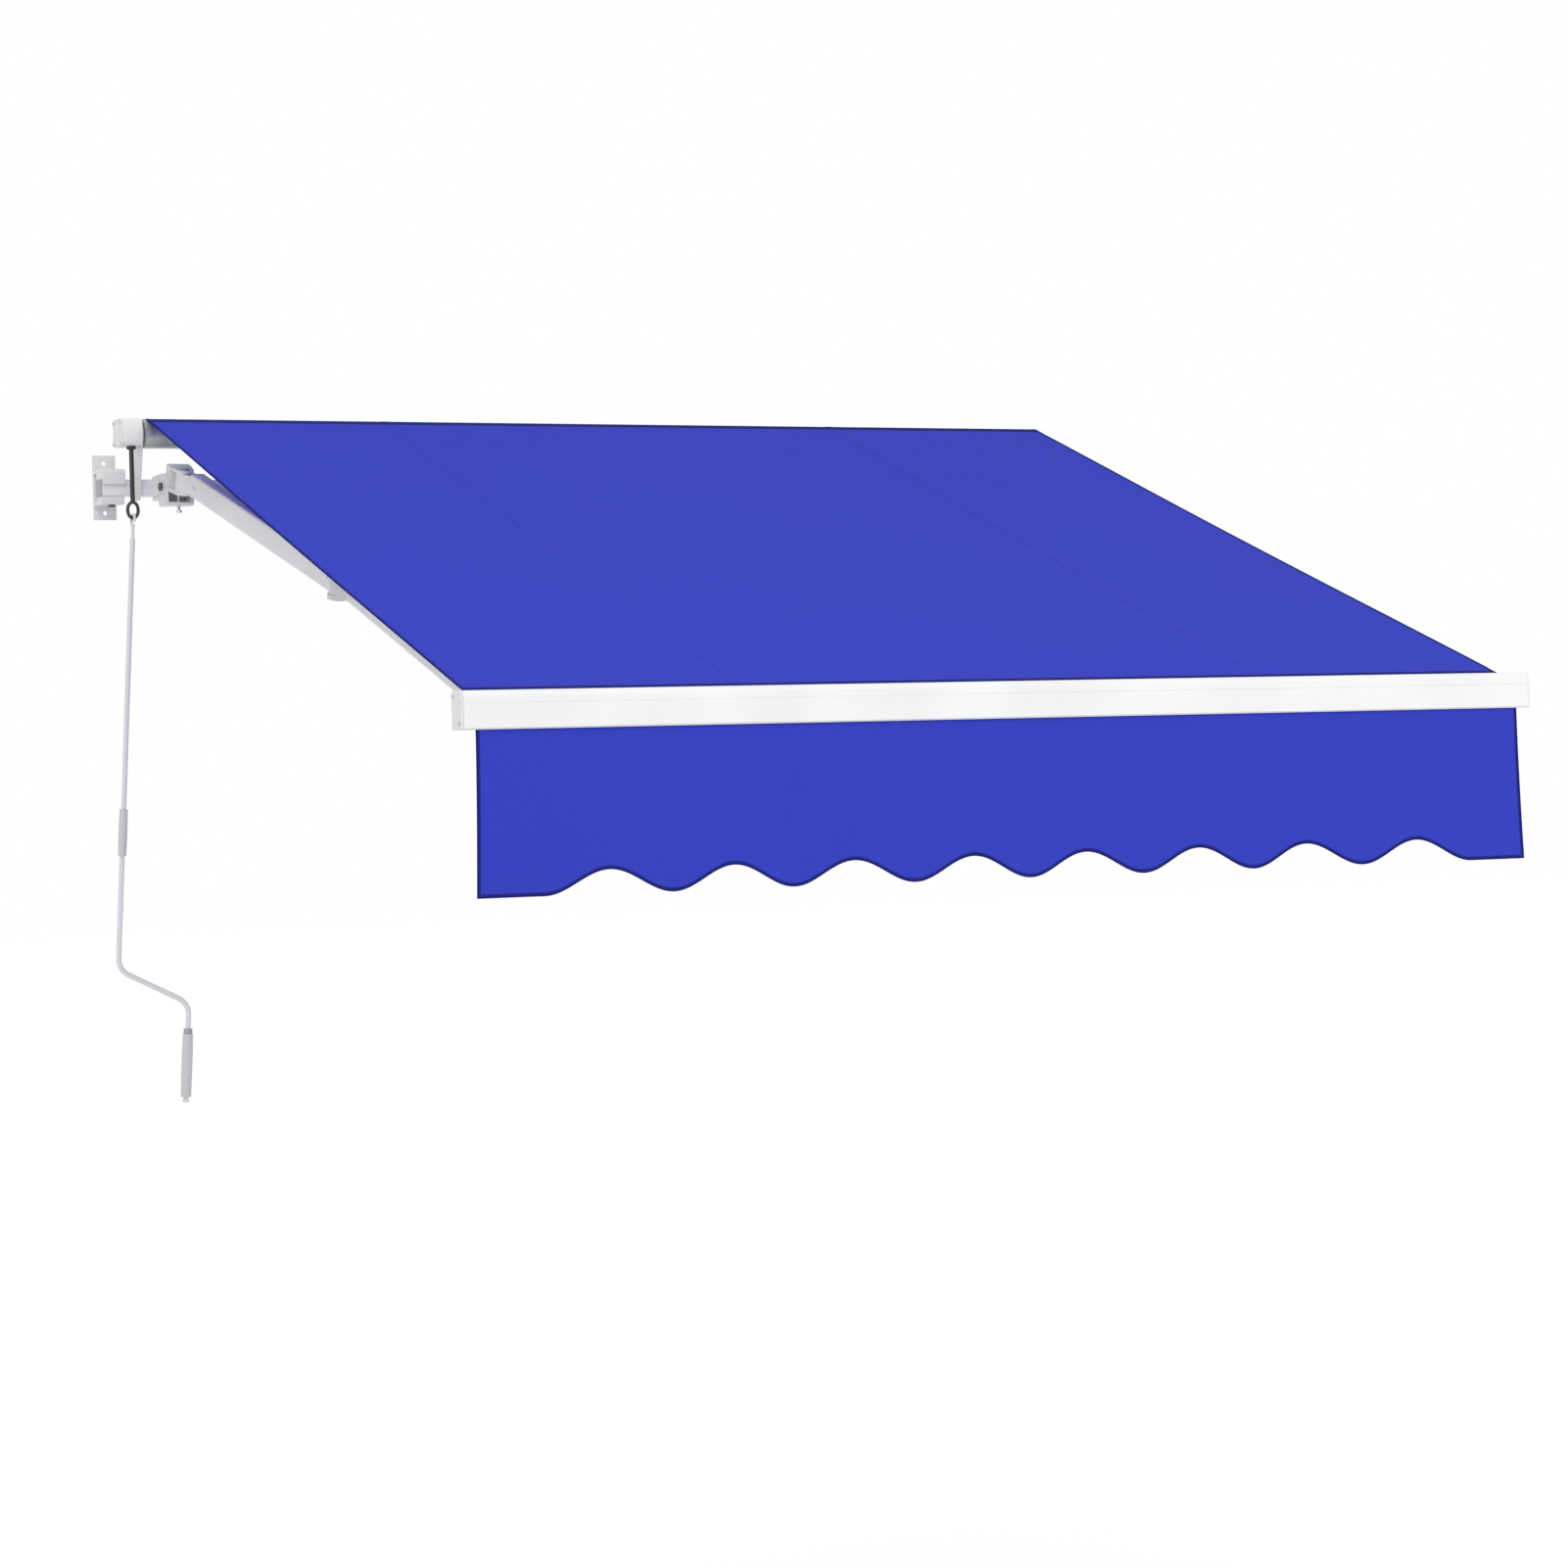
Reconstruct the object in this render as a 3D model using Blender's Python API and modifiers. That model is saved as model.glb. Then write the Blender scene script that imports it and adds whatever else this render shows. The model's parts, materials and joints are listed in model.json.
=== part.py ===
"""Retractable folding-arm awning, fully extended.

X runs along the wall, +Y points into the wall and +Z up, in metres. The wall's surface is the plane Y = 0,
and the torsion bar's middle lies at X = 0, Z = 0. "Outwards" is -Y, away from the wall.
"""
import math

import bmesh
import bpy
from mathutils import Vector
from mathutils.geometry import convex_hull_2d

SEAT = 0.0003                 # gap between faces that touch
RUNNING = 0.0004              # radial gap between a pin and its bore

# Torsion bar and wall brackets
BAR_SIDE = 0.040
BAR_WALL = 0.0025
BAR_STANDOFF = 0.042          # wall to the back of the bar
WALL_BRACKET_WIDTH = 0.055
WALL_BRACKET_INSET = 0.0745   # cloth edge to the middle of a wall bracket
WALL_PLATE_THICKNESS = 0.008
WALL_PLATE_TOP = 0.082
WALL_PLATE_BOTTOM = -0.072
HOOK_WALL = 0.010             # metal round the bar in a wall bracket
HOOK_HOLE_RADIUS = 0.0055
LOCK_BOLT_RADIUS = 0.005
LOCK_BOLT_HEAD = 0.0085
LOCK_BOLT_HEAD_HEIGHT = 0.006
BAR_CAP_THICKNESS = 0.003
BAR_CAP_DEPTH = 0.012

# Cloth, roller and its brackets
CLOTH_WIDTH = 2.400
CLOTH_LENGTH = 2.210          # roller to front bar, along the slope
CLOTH_SLOPE = math.radians(19.1)
CLOTH_THICKNESS = 0.0012
ROLLER_RADIUS = 0.035
ROLLER_WALL = 0.0015
ROLLER_OVERHANG = 0.005       # roller tube past each cloth edge
ROLLER_RISE = 0.127           # roller axis above the bar's middle
ROLLER_OUT = 0.0385           # roller axis in front of the bar's middle
ROLLER_PLATE = 0.005
ROLLER_PLATE_GAP = 0.007
ROLLER_PLATE_RADIUS = 0.032
ROLLER_PLATE_MARGIN = 0.011   # metal round the bar in a roller bracket
BEAD_RADIUS = 0.0032
BEAD_CLEARANCE = 0.0005
GROOVE_WALL = 0.0018
GROOVE_MOUTH = 0.0030
PLUG_DEPTH = 0.050
STUB_RADIUS = 0.008
STUB_LENGTH = 0.045

# Winding gear
GEARBOX_DEPTH = 0.048
GEARBOX_WALL = 0.003
GEARBOX_HEIGHT = 0.066
GEARBOX_BACK = 0.031          # roller axis to the housing's back
GEARBOX_FRONT = 0.042         # roller axis to the housing's front
GEARBOX_EDGE = 0.006
WHEEL_RADIUS = 0.0165
WHEEL_WIDTH = 0.016
WORM_RADIUS = 0.0085
WORM_LENGTH = 0.030
WORM_GAP = 0.0006
WORM_STEM_RADIUS = 0.0055
WORM_STEM_BOTTOM = -0.040
EYE_WIDTH = 0.034
EYE_HEIGHT = 0.046
EYE_WIRE_RADIUS = 0.0042

# Crank
CRANK_ROD_RADIUS = 0.0065
CRANK_ROD_LENGTH = 1.020
CRANK_LEAN = math.radians(3.6)
CRANK_ARM_OFFSET = 0.175      # rod to handle, across
CRANK_ARM_DROP = 0.075
CRANK_HANDLE_LENGTH = 0.235
CRANK_BEND_RADIUS = 0.030
CRANK_HOOK_RADIUS = 0.014
CRANK_HOOK_WIRE = 0.0034
CRANK_HOOK_SWEEP = 285        # degrees of circle in the hook
CRANK_NECK_RADIUS = 0.0042
CRANK_NECK_LENGTH = 0.030
GRIP_RADIUS = 0.013
GRIP_LENGTH = 0.150
SLEEVE_RADIUS = 0.0105
SLEEVE_LENGTH = 0.110
SLEEVE_DOWN = 0.640           # rod top to the sleeve's top
COLLAR_RADIUS = 0.0105
COLLAR_LENGTH = 0.012

# Arm brackets and shoulders
SHOULDER_INSET = 0.070        # cloth edge to the shoulder pin
SHOULDER_OUT = 0.115          # shoulder pin in front of the bar's middle
SHOULDER_RISE = 0.007
ARM_BRACKET_WIDTH = 0.070
ARM_BRACKET_WALL = 0.0085
ARM_BRACKET_CHEEK = 0.008
ARM_BRACKET_NOSE = 0.078      # bar's middle to the front of the cheeks
ARM_BRACKET_TOP = 0.031
ARM_BRACKET_BOTTOM = -0.046
TILT_OUT = 0.050              # tilt bolt in front of the bar's middle
TILT_HUB_RADIUS = 0.013
TILT_BOLT_RADIUS = 0.006
TILT_BLOCK_HEIGHT = 0.060
SHOULDER_EAR_RADIUS = 0.022
SHOULDER_SLOT_BACK = 0.032    # shoulder pin to the back of the block's slot
PITCH_SCREW_RADIUS = 0.004
PITCH_SCREW_OUT = 0.068       # pitch screw in front of the bar's middle

# Arms
ARM_LEAN = math.radians(2.0)  # upper arms lean inwards when fully extended
ARM_OFFSET = 0.020            # arm tubes lie this far inside the line of their pivots
TUBE_EDGE = 0.006
TUBE_WALL = 0.0022
TUBE_START = 0.045            # pivot to the end of a tube
PLUG_LENGTH = 0.040
COLLAR_DEPTH = 0.008
UPPER_HEIGHT = 0.056
UPPER_THICKNESS = 0.035
FOREARM_HEIGHT = 0.046
FOREARM_THICKNESS = 0.028
KNUCKLE_RADIUS = 0.020
KNUCKLE_HEIGHT = 0.044
ELBOW_FORK_RADIUS = 0.022
ELBOW_TONGUE_RADIUS = 0.020
ELBOW_TONGUE_HEIGHT = 0.034
ELBOW_SLOT_ROOM = 0.004       # behind the tongue, in the fork's slot
FRONT_KNUCKLE_RADIUS = 0.016
FRONT_KNUCKLE_HEIGHT = 0.030
PIN_RADIUS = 0.0075
PIN_HEAD_RADIUS = 0.011
PIN_HEAD_HEIGHT = 0.003
ARM_FOLD = math.radians(81)   # a shoulder's swing from fully extended to folded
SPRING_WIRE = 0.0018
SPRING_TURNS = 16
SPRING_LENGTH = 0.420

# Front bar, clamps and valance
BAR_BACK = 0.008              # cloth bead to the bar's back face
BAR_FRONT = 0.048             # cloth bead to the bar's front face
BAR_TOP = 0.0075              # bead to the bar's top
BAR_BOTTOM = -0.0685          # bead to the bar's underside
BAR_SKIN = 0.0022
BAR_OVERHANG = 0.026          # front bar past each cloth edge
CAP_THICKNESS = 0.004
CAP_DEPTH = 0.014
FRONT_PIVOT_BACK = 0.060      # cloth bead to the front pins, towards the wall
FRONT_PIVOT_DROP = 0.036
CLAMP_RADIUS = 0.018
CLAMP_HEIGHT = 0.044
CLAMP_PLATE = 0.006
CLAMP_PLATE_WIDTH = 0.060
CLAMP_PLATE_HEIGHT = 0.044
SLOT_MOUTH = 0.010            # mouth of the slot in the bar's back
SLOT_HEIGHT = 0.020
SLOT_DEPTH = 0.009
VALANCE_DROP = 0.325
VALANCE_OUT = 0.040           # cloth bead to the valance, outwards
SCALLOPS = 8
SCALLOP_PITCH = 0.265
SCALLOP_DEPTH = 0.048
OPEN_PIVOT_CLEARANCE = 0.0012

# Places that follow from the sizes above
HALF_CLOTH = CLOTH_WIDTH / 2
BAR_Y = -(BAR_STANDOFF + BAR_SIDE / 2)
WALL_BRACKET_X = HALF_CLOTH + WALL_BRACKET_INSET
BAR_END = WALL_BRACKET_X + WALL_BRACKET_WIDTH / 2
ROLLER_Y = BAR_Y - ROLLER_OUT
ROLLER_Z = ROLLER_RISE
ROLLER_END = HALF_CLOTH + ROLLER_OVERHANG
ROLLER_PLATE_X = ROLLER_END + ROLLER_PLATE_GAP + ROLLER_PLATE / 2
CLOTH_ALONG = Vector((0, -math.cos(CLOTH_SLOPE), -math.sin(CLOTH_SLOPE)))
CLOTH_UP = Vector((0, -math.sin(CLOTH_SLOPE), math.cos(CLOTH_SLOPE)))
CLOTH_START = Vector((0, ROLLER_Y, ROLLER_Z)) + CLOTH_UP * (ROLLER_RADIUS + SEAT + CLOTH_THICKNESS / 2)
FRONT_BEAD = CLOTH_START + CLOTH_ALONG * CLOTH_LENGTH
SHOULDER_X = HALF_CLOTH - SHOULDER_INSET
SHOULDER = Vector((0, BAR_Y - SHOULDER_OUT, SHOULDER_RISE))
FRONT_PIVOT = FRONT_BEAD + Vector((0, FRONT_PIVOT_BACK, -FRONT_PIVOT_DROP))
REACH = (FRONT_PIVOT - SHOULDER).length
ARM_SLOPE = math.atan2(SHOULDER.z - FRONT_PIVOT.z, SHOULDER.y - FRONT_PIVOT.y)
LINK = REACH / 2 / math.cos(ARM_LEAN)
BAR_BACK_FACE = FRONT_BEAD.y + BAR_BACK
SPRING_RADIUS = UPPER_THICKNESS / 2 - TUBE_WALL - SEAT - SPRING_WIRE

DRAWN_UP = 100                            # outlines are filled at this size, so small corners stay apart
ALONG_X = (0, math.pi / 2, 0)             # turns a local Z axis to X
ACROSS = (math.pi / 2, 0, math.pi / 2)    # an outline drawn in Y and Z, with its thickness along X
UPRIGHT = (math.pi / 2, 0, 0)             # an outline drawn in X and Z, with its thickness along Y

WHITE_COAT = ("white_coat", (0.82, 0.83, 0.84, 1), 0.38, 0.0)
GREY_COAT = ("grey_coat", (0.62, 0.63, 0.64, 1), 0.42, 0.1)
ZINC_STEEL = ("zinc_steel", (0.55, 0.56, 0.57, 1), 0.35, 1.0)
BLACK_PLASTIC = ("black_plastic", (0.02, 0.02, 0.022, 1), 0.45, 0.0)
GREY_PLASTIC = ("grey_plastic", (0.42, 0.43, 0.44, 1), 0.5, 0.0)
BLUE_CLOTH = ("blue_cloth", (0.043, 0.053, 0.54, 1), 0.85, 0.0)
BRONZE = ("bronze", (0.50, 0.36, 0.17, 1), 0.35, 1.0)


def clear_scene():
    for obj in list(bpy.data.objects):
        bpy.data.objects.remove(obj, do_unlink=True)


def new_collection(name):
    collection = bpy.data.collections.new(name)
    bpy.context.scene.collection.children.link(collection)
    return collection


clear_scene()
PARTS = new_collection("retractable_awning")
CUTTERS = new_collection("cutters")


def material(name, colour, roughness, metallic):
    """A painted, moulded or bare finish for one sub-part."""
    made = bpy.data.materials.new(name)
    made.use_nodes = True
    shader = made.node_tree.nodes["Principled BSDF"]
    shader.inputs["Base Color"].default_value = colour
    shader.inputs["Roughness"].default_value = roughness
    shader.inputs["Metallic"].default_value = metallic
    return made


def as_part(obj, finish):
    """Names the object's own finish and rounds its shading."""
    label, colour, roughness, metallic = finish
    obj.data.materials.clear()
    obj.data.materials.append(material(label + "_" + obj.name, colour, roughness, metallic))
    obj.data.shade_smooth()
    obj.data.set_sharp_from_angle(angle=math.radians(35))
    return obj


def put(obj, parent=None, place=(0, 0, 0), turn=(0, 0, 0)):
    obj.parent = parent
    obj.location = place
    obj.rotation_euler = turn
    return obj


def joint_empty(name, parent, place, turn=(0, 0, 0)):
    """An empty on a joint's axis, which carries the pieces that turn about it."""
    empty = bpy.data.objects.new(name, None)
    empty.empty_display_size = 0.05
    PARTS.objects.link(empty)
    return put(empty, parent, place, turn)


def mesh_object(name, form, collection=None):
    mesh = bpy.data.meshes.new(name)
    form.to_mesh(mesh)
    form.free()
    obj = bpy.data.objects.new(name, mesh)
    (collection or PARTS).objects.link(obj)
    return obj


def box(name, size, centre=(0, 0, 0), collection=None):
    form = bmesh.new()
    bmesh.ops.create_cube(form, size=1.0)
    bmesh.ops.scale(form, vec=size, verts=form.verts)
    bmesh.ops.translate(form, vec=centre, verts=form.verts)
    return mesh_object(name, form, collection)


def cylinder(name, radius, length, sides=20, centre=(0, 0, 0), collection=None):
    """A cylinder round local Z, centred on its middle."""
    form = bmesh.new()
    bmesh.ops.create_cone(form, cap_ends=True, segments=sides, radius1=radius, radius2=radius, depth=length)
    bmesh.ops.translate(form, vec=centre, verts=form.verts)
    return mesh_object(name, form, collection)


def turned(name, profile, sides=20):
    """A profile of (radius, height) points from the top of the outer side down, turned round local Z.

    A profile that ends where it starts is a ring's section.
    """
    mesh = bpy.data.meshes.new(name)
    ring = profile[0] == profile[-1]
    points = [(radius, 0, height) for radius, height in (profile[:-1] if ring else profile)]
    edges = [(i, i + 1) for i in range(len(points) - 1)]
    if ring:
        edges.append((len(points) - 1, 0))
    mesh.from_pydata(points, edges, [])
    obj = bpy.data.objects.new(name, mesh)
    PARTS.objects.link(obj)
    screw = obj.modifiers.new("turn", "SCREW")
    screw.axis = "Z"
    screw.steps = sides
    screw.render_steps = sides
    screw.use_merge_vertices = True
    screw.merge_threshold = 0.00005
    screw.use_smooth_shade = True
    return obj


def curve_to_mesh(curve_object, collection, scale=1.0):
    """The curve as a closed mesh: its caps are welded and its faces point outwards."""
    bpy.context.view_layer.update()
    depsgraph = bpy.context.evaluated_depsgraph_get()
    mesh = bpy.data.meshes.new_from_object(curve_object.evaluated_get(depsgraph))
    form = bmesh.new()
    form.from_mesh(mesh)
    bmesh.ops.scale(form, vec=(scale, scale, scale), verts=form.verts)
    bmesh.ops.remove_doubles(form, verts=form.verts, dist=0.00001)
    bmesh.ops.recalc_face_normals(form, faces=form.faces)
    form.to_mesh(mesh)
    form.free()
    name = curve_object.name
    curve_object.name = name + "_curve"
    obj = bpy.data.objects.new(name, mesh)
    collection.objects.link(obj)
    obj.matrix_world = curve_object.matrix_world
    bpy.data.objects.remove(curve_object, do_unlink=True)
    return obj


def outline(name, loops, thickness, collection=None):
    """Closed outlines in local X and Y, the later ones being holes, as a solid centred on local Z."""
    curve = bpy.data.curves.new(name, "CURVE")
    curve.dimensions = "2D"
    curve.fill_mode = "BOTH"
    curve.extrude = thickness / 2 * DRAWN_UP
    for loop in loops:
        spline = curve.splines.new("POLY")
        spline.points.add(len(loop) - 1)
        for point, (x, y) in zip(spline.points, loop):
            point.co = (x * DRAWN_UP, y * DRAWN_UP, 0, 1)
        spline.use_cyclic_u = True
    curve_object = bpy.data.objects.new(name, curve)
    CUTTERS.objects.link(curve_object)
    return curve_to_mesh(curve_object, collection or PARTS, 1 / DRAWN_UP)


def wire(name, route, radius, sides=12, closed=False, collection=None):
    """A round bar bent along a route of points."""
    curve = bpy.data.curves.new(name, "CURVE")
    curve.dimensions = "3D"
    curve.bevel_depth = radius
    curve.bevel_resolution = sides // 2 - 2
    curve.use_fill_caps = not closed
    spline = curve.splines.new("POLY")
    spline.points.add(len(route) - 1)
    for point, co in zip(spline.points, route):
        point.co = (*co, 1)
    spline.use_cyclic_u = closed
    curve_object = bpy.data.objects.new(name, curve)
    CUTTERS.objects.link(curve_object)
    return curve_to_mesh(curve_object, collection or PARTS)


def bevel(obj, width, segments=2):
    rounded = obj.modifiers.new("rounded", "BEVEL")
    rounded.width = width
    rounded.segments = segments
    rounded.limit_method = "ANGLE"
    rounded.angle_limit = math.radians(50)
    return obj


def combine(obj, tool, operation):
    """Cuts the tool from the object, or joins it on. The tool keeps its own place."""
    for collection in list(tool.users_collection):
        collection.objects.unlink(tool)
    CUTTERS.objects.link(tool)
    tool.hide_render = True
    tool.display_type = "WIRE"
    step = obj.modifiers.new(tool.name, "BOOLEAN")
    step.operation = operation
    step.solver = "EXACT"
    step.object = tool
    return obj


def cut(obj, tool):
    return combine(obj, tool, "DIFFERENCE")


def join(obj, tool):
    return combine(obj, tool, "UNION")


def circle(centre, radius, sides=24, start=0.0, end=2 * math.pi):
    """Points round a circle, or along an arc of it with both ends."""
    whole = abs(end - start) >= 2 * math.pi - 1e-6
    count = sides if whole else sides + 1
    turns = [start + (end - start) * i / sides for i in range(count)]
    return [(centre[0] + radius * math.cos(t), centre[1] + radius * math.sin(t)) for t in turns]


def rectangle(x0, x1, y0, y1):
    return [(x0, y0), (x1, y0), (x1, y1), (x0, y1)]


def rounded_rectangle(x0, x1, y0, y1, radius, sides=4):
    corners = ((x1 - radius, y1 - radius, 0), (x0 + radius, y1 - radius, 1),
               (x0 + radius, y0 + radius, 2), (x1 - radius, y0 + radius, 3))
    points = []
    for x, y, quarter in corners:
        points += circle((x, y), radius, sides, quarter * math.pi / 2, (quarter + 1) * math.pi / 2)
    return points


def hull(points):
    """The outline stretched round a set of points, as a string would lie round pegs."""
    return [points[i] for i in convex_hull_2d([Vector(p) for p in points])]


def side_name(name, side):
    return name + ("_left" if side < 0 else "_right")


def torsion_bar():
    half = BAR_SIDE / 2
    inner = half - BAR_WALL
    bar = outline("torsion_bar", [rounded_rectangle(-half, half, -half, half, 0.004),
                                  rounded_rectangle(-inner, inner, -inner, inner, 0.002)], 2 * BAR_END)
    put(as_part(bar, WHITE_COAT), None, (0, BAR_Y, 0), ACROSS)
    for side in (-1, 1):
        cap = box(side_name("torsion_bar_cap", side), (BAR_CAP_THICKNESS, BAR_SIDE, BAR_SIDE),
                  (side * (BAR_END + SEAT + BAR_CAP_THICKNESS / 2), 0, 0))
        bevel(cap, 0.001, 1)
        plug_side = 2 * (inner - SEAT)
        plug = box(side_name("bar_cap_plug", side), (BAR_CAP_DEPTH, plug_side, plug_side),
                   (side * (BAR_END - BAR_CAP_DEPTH / 2 + 0.001), 0, 0))
        bevel(plug, 0.002, 2)
        join(put(as_part(cap, GREY_PLASTIC), None, (0, BAR_Y, 0)), put(plug, None, (0, BAR_Y, 0)))


def wall_bracket(side):
    """A hook that the bar is lifted into, with a plate for two wall bolts."""
    seat = BAR_SIDE / 2 + SEAT
    back = BAR_Y + seat
    front = BAR_Y - seat
    top = seat + 2.4 * HOOK_WALL
    bottom = -seat - 1.9 * HOOK_WALL
    lip = BAR_Y - 0.4 * BAR_SIDE
    hook = outline(side_name("wall_bracket", side), [[
        (0, WALL_PLATE_BOTTOM), (0, WALL_PLATE_TOP), (-WALL_PLATE_THICKNESS, WALL_PLATE_TOP),
        (-WALL_PLATE_THICKNESS, top), (front, top), (front - 0.6 * HOOK_WALL, top - 0.4 * HOOK_WALL),
        (front - HOOK_WALL, top - HOOK_WALL), (front - HOOK_WALL, 0.2 * BAR_SIDE), (front, 0.2 * BAR_SIDE),
        (front, seat), (back, seat), (back, -seat), (lip, -seat), (lip, bottom),
        (-WALL_PLATE_THICKNESS, bottom), (-WALL_PLATE_THICKNESS, WALL_PLATE_BOTTOM)],
        rectangle(back + 0.7 * HOOK_WALL, -WALL_PLATE_THICKNESS - 0.4 * HOOK_WALL, bottom + 0.9 * HOOK_WALL,
                  top - 0.8 * HOOK_WALL),
    ], WALL_BRACKET_WIDTH)
    put(as_part(hook, WHITE_COAT), None, (side * WALL_BRACKET_X, 0, 0), ACROSS)
    for level in ((top + WALL_PLATE_TOP) / 2, (bottom + WALL_PLATE_BOTTOM) / 2):
        hole = cylinder(side_name("wall_hole", side), HOOK_HOLE_RADIUS, 4 * WALL_PLATE_THICKNESS, 24)
        cut(hook, put(hole, None, (side * WALL_BRACKET_X, 0, level), UPRIGHT))
    bore = cylinder(side_name("lock_hole", side), LOCK_BOLT_RADIUS + SEAT, 0.03, 24)
    cut(hook, put(bore, None, (side * WALL_BRACKET_X, BAR_Y, (bottom - seat) / 2)))
    bolt_top = -seat - SEAT
    head_top = bottom - SEAT
    bolt = cylinder(side_name("bracket_bolt", side), LOCK_BOLT_RADIUS, bolt_top - head_top + 0.002, 24,
                    (0, 0, (bolt_top + head_top - 0.002) / 2))
    head = cylinder(side_name("bolt_head", side), LOCK_BOLT_HEAD, LOCK_BOLT_HEAD_HEIGHT, 6,
                    (0, 0, head_top - LOCK_BOLT_HEAD_HEIGHT / 2))
    place = (side * WALL_BRACKET_X, BAR_Y, 0)
    join(put(as_part(bolt, ZINC_STEEL), None, place), put(head, None, place))


def roller_bracket(side):
    """A steel plate threaded on the bar, which carries one end of the roller."""
    reach = BAR_SIDE / 2 + ROLLER_PLATE_MARGIN
    around_bar = rounded_rectangle(BAR_Y - reach, BAR_Y + reach, -reach, reach, 0.006)
    around_roller = circle((ROLLER_Y, ROLLER_Z), ROLLER_PLATE_RADIUS, 24)
    seat = BAR_SIDE / 2 + SEAT
    axle = PIN_RADIUS + 0.002 if side < 0 else STUB_RADIUS + SEAT
    plate = outline(side_name("roller_bracket", side), [
        hull(around_bar + around_roller),
        rounded_rectangle(BAR_Y - seat, BAR_Y + seat, -seat, seat, 0.003),
        circle((ROLLER_Y, ROLLER_Z), axle, 20)], ROLLER_PLATE)
    put(as_part(plate, WHITE_COAT), None, (side * ROLLER_PLATE_X, 0, 0), ACROSS)


def roller():
    """The tube has a round groove that holds the cloth's bead, and a plug at each end."""
    groove_radius = BEAD_RADIUS + BEAD_CLEARANCE
    groove_depth = ROLLER_RADIUS - groove_radius - GROOVE_WALL - SEAT
    length = 2 * ROLLER_END
    carrier = joint_empty("roller_axis", None, (0, ROLLER_Y, ROLLER_Z), (CLOTH_SLOPE, 0, 0))
    tube = outline("roller_tube", [circle((0, 0), ROLLER_RADIUS, 48),
                                   circle((0, 0), ROLLER_RADIUS - ROLLER_WALL, 48)], length)
    put(as_part(tube, GREY_COAT), carrier, (0, 0, 0), ACROSS)
    ridge = cylinder("groove_ridge", groove_radius + GROOVE_WALL, length, 20)
    join(tube, put(ridge, carrier, (0, 0, groove_depth), ALONG_X))
    groove = cylinder("groove_hollow", groove_radius, 1.1 * length, 20)
    cut(tube, put(groove, carrier, (0, 0, groove_depth), ALONG_X))
    mouth = box("groove_mouth", (1.1 * length, GROOVE_MOUTH, 2 * groove_radius), (0, 0, ROLLER_RADIUS))
    cut(tube, put(mouth, carrier))
    bead = cylinder("roller_bead", BEAD_RADIUS, CLOTH_WIDTH, 20)
    put(as_part(bead, BLACK_PLASTIC), carrier, (0, 0, groove_depth), ALONG_X)
    notch = groove_radius + GROOVE_WALL + SEAT
    plug_radius = ROLLER_RADIUS - ROLLER_WALL - SEAT
    shaft_end = ROLLER_PLATE_X + ROLLER_PLATE / 2 + GEARBOX_DEPTH - GEARBOX_WALL - SEAT
    drive = turned("roller_plug_left", [
        (0, shaft_end), (PIN_RADIUS, shaft_end), (PIN_RADIUS, ROLLER_END + SEAT + 0.003),
        (ROLLER_RADIUS, ROLLER_END + SEAT + 0.003), (ROLLER_RADIUS, ROLLER_END + SEAT),
        (plug_radius, ROLLER_END + SEAT), (plug_radius, ROLLER_END - PLUG_DEPTH), (0, ROLLER_END - PLUG_DEPTH)])
    put(as_part(drive, GREY_PLASTIC), carrier, (0, 0, 0), (0, -math.pi / 2, 0))
    idler = turned("roller_plug_right", [
        (STUB_RADIUS + RUNNING, ROLLER_END + SEAT + 0.003), (ROLLER_RADIUS, ROLLER_END + SEAT + 0.003),
        (ROLLER_RADIUS, ROLLER_END + SEAT), (plug_radius, ROLLER_END + SEAT), (plug_radius, ROLLER_END - PLUG_DEPTH),
        (STUB_RADIUS + RUNNING, ROLLER_END - PLUG_DEPTH), (STUB_RADIUS + RUNNING, ROLLER_END + SEAT + 0.003)])
    put(as_part(idler, GREY_PLASTIC), carrier, (0, 0, 0), ALONG_X)
    for plug, side in ((drive, -1), (idler, 1)):
        slot = cylinder(side_name("plug_notch", side), notch, PLUG_DEPTH + 0.01, 20)
        middle = side * (ROLLER_END - PLUG_DEPTH / 2 - 0.005 + SEAT)
        cut(plug, put(slot, carrier, (middle, 0, groove_depth), ALONG_X))
    stub_end = ROLLER_PLATE_X + ROLLER_PLATE / 2 + 0.004
    head = stub_end - 0.004 + SEAT
    stub = turned("roller_stub_right", [
        (0, stub_end), (STUB_RADIUS + 0.004, stub_end), (STUB_RADIUS + 0.004, head), (STUB_RADIUS, head),
        (STUB_RADIUS, ROLLER_END - STUB_LENGTH), (0, ROLLER_END - STUB_LENGTH)])
    put(as_part(stub, ZINC_STEEL), None, (0, ROLLER_Y, ROLLER_Z), ALONG_X)
    return carrier


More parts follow.
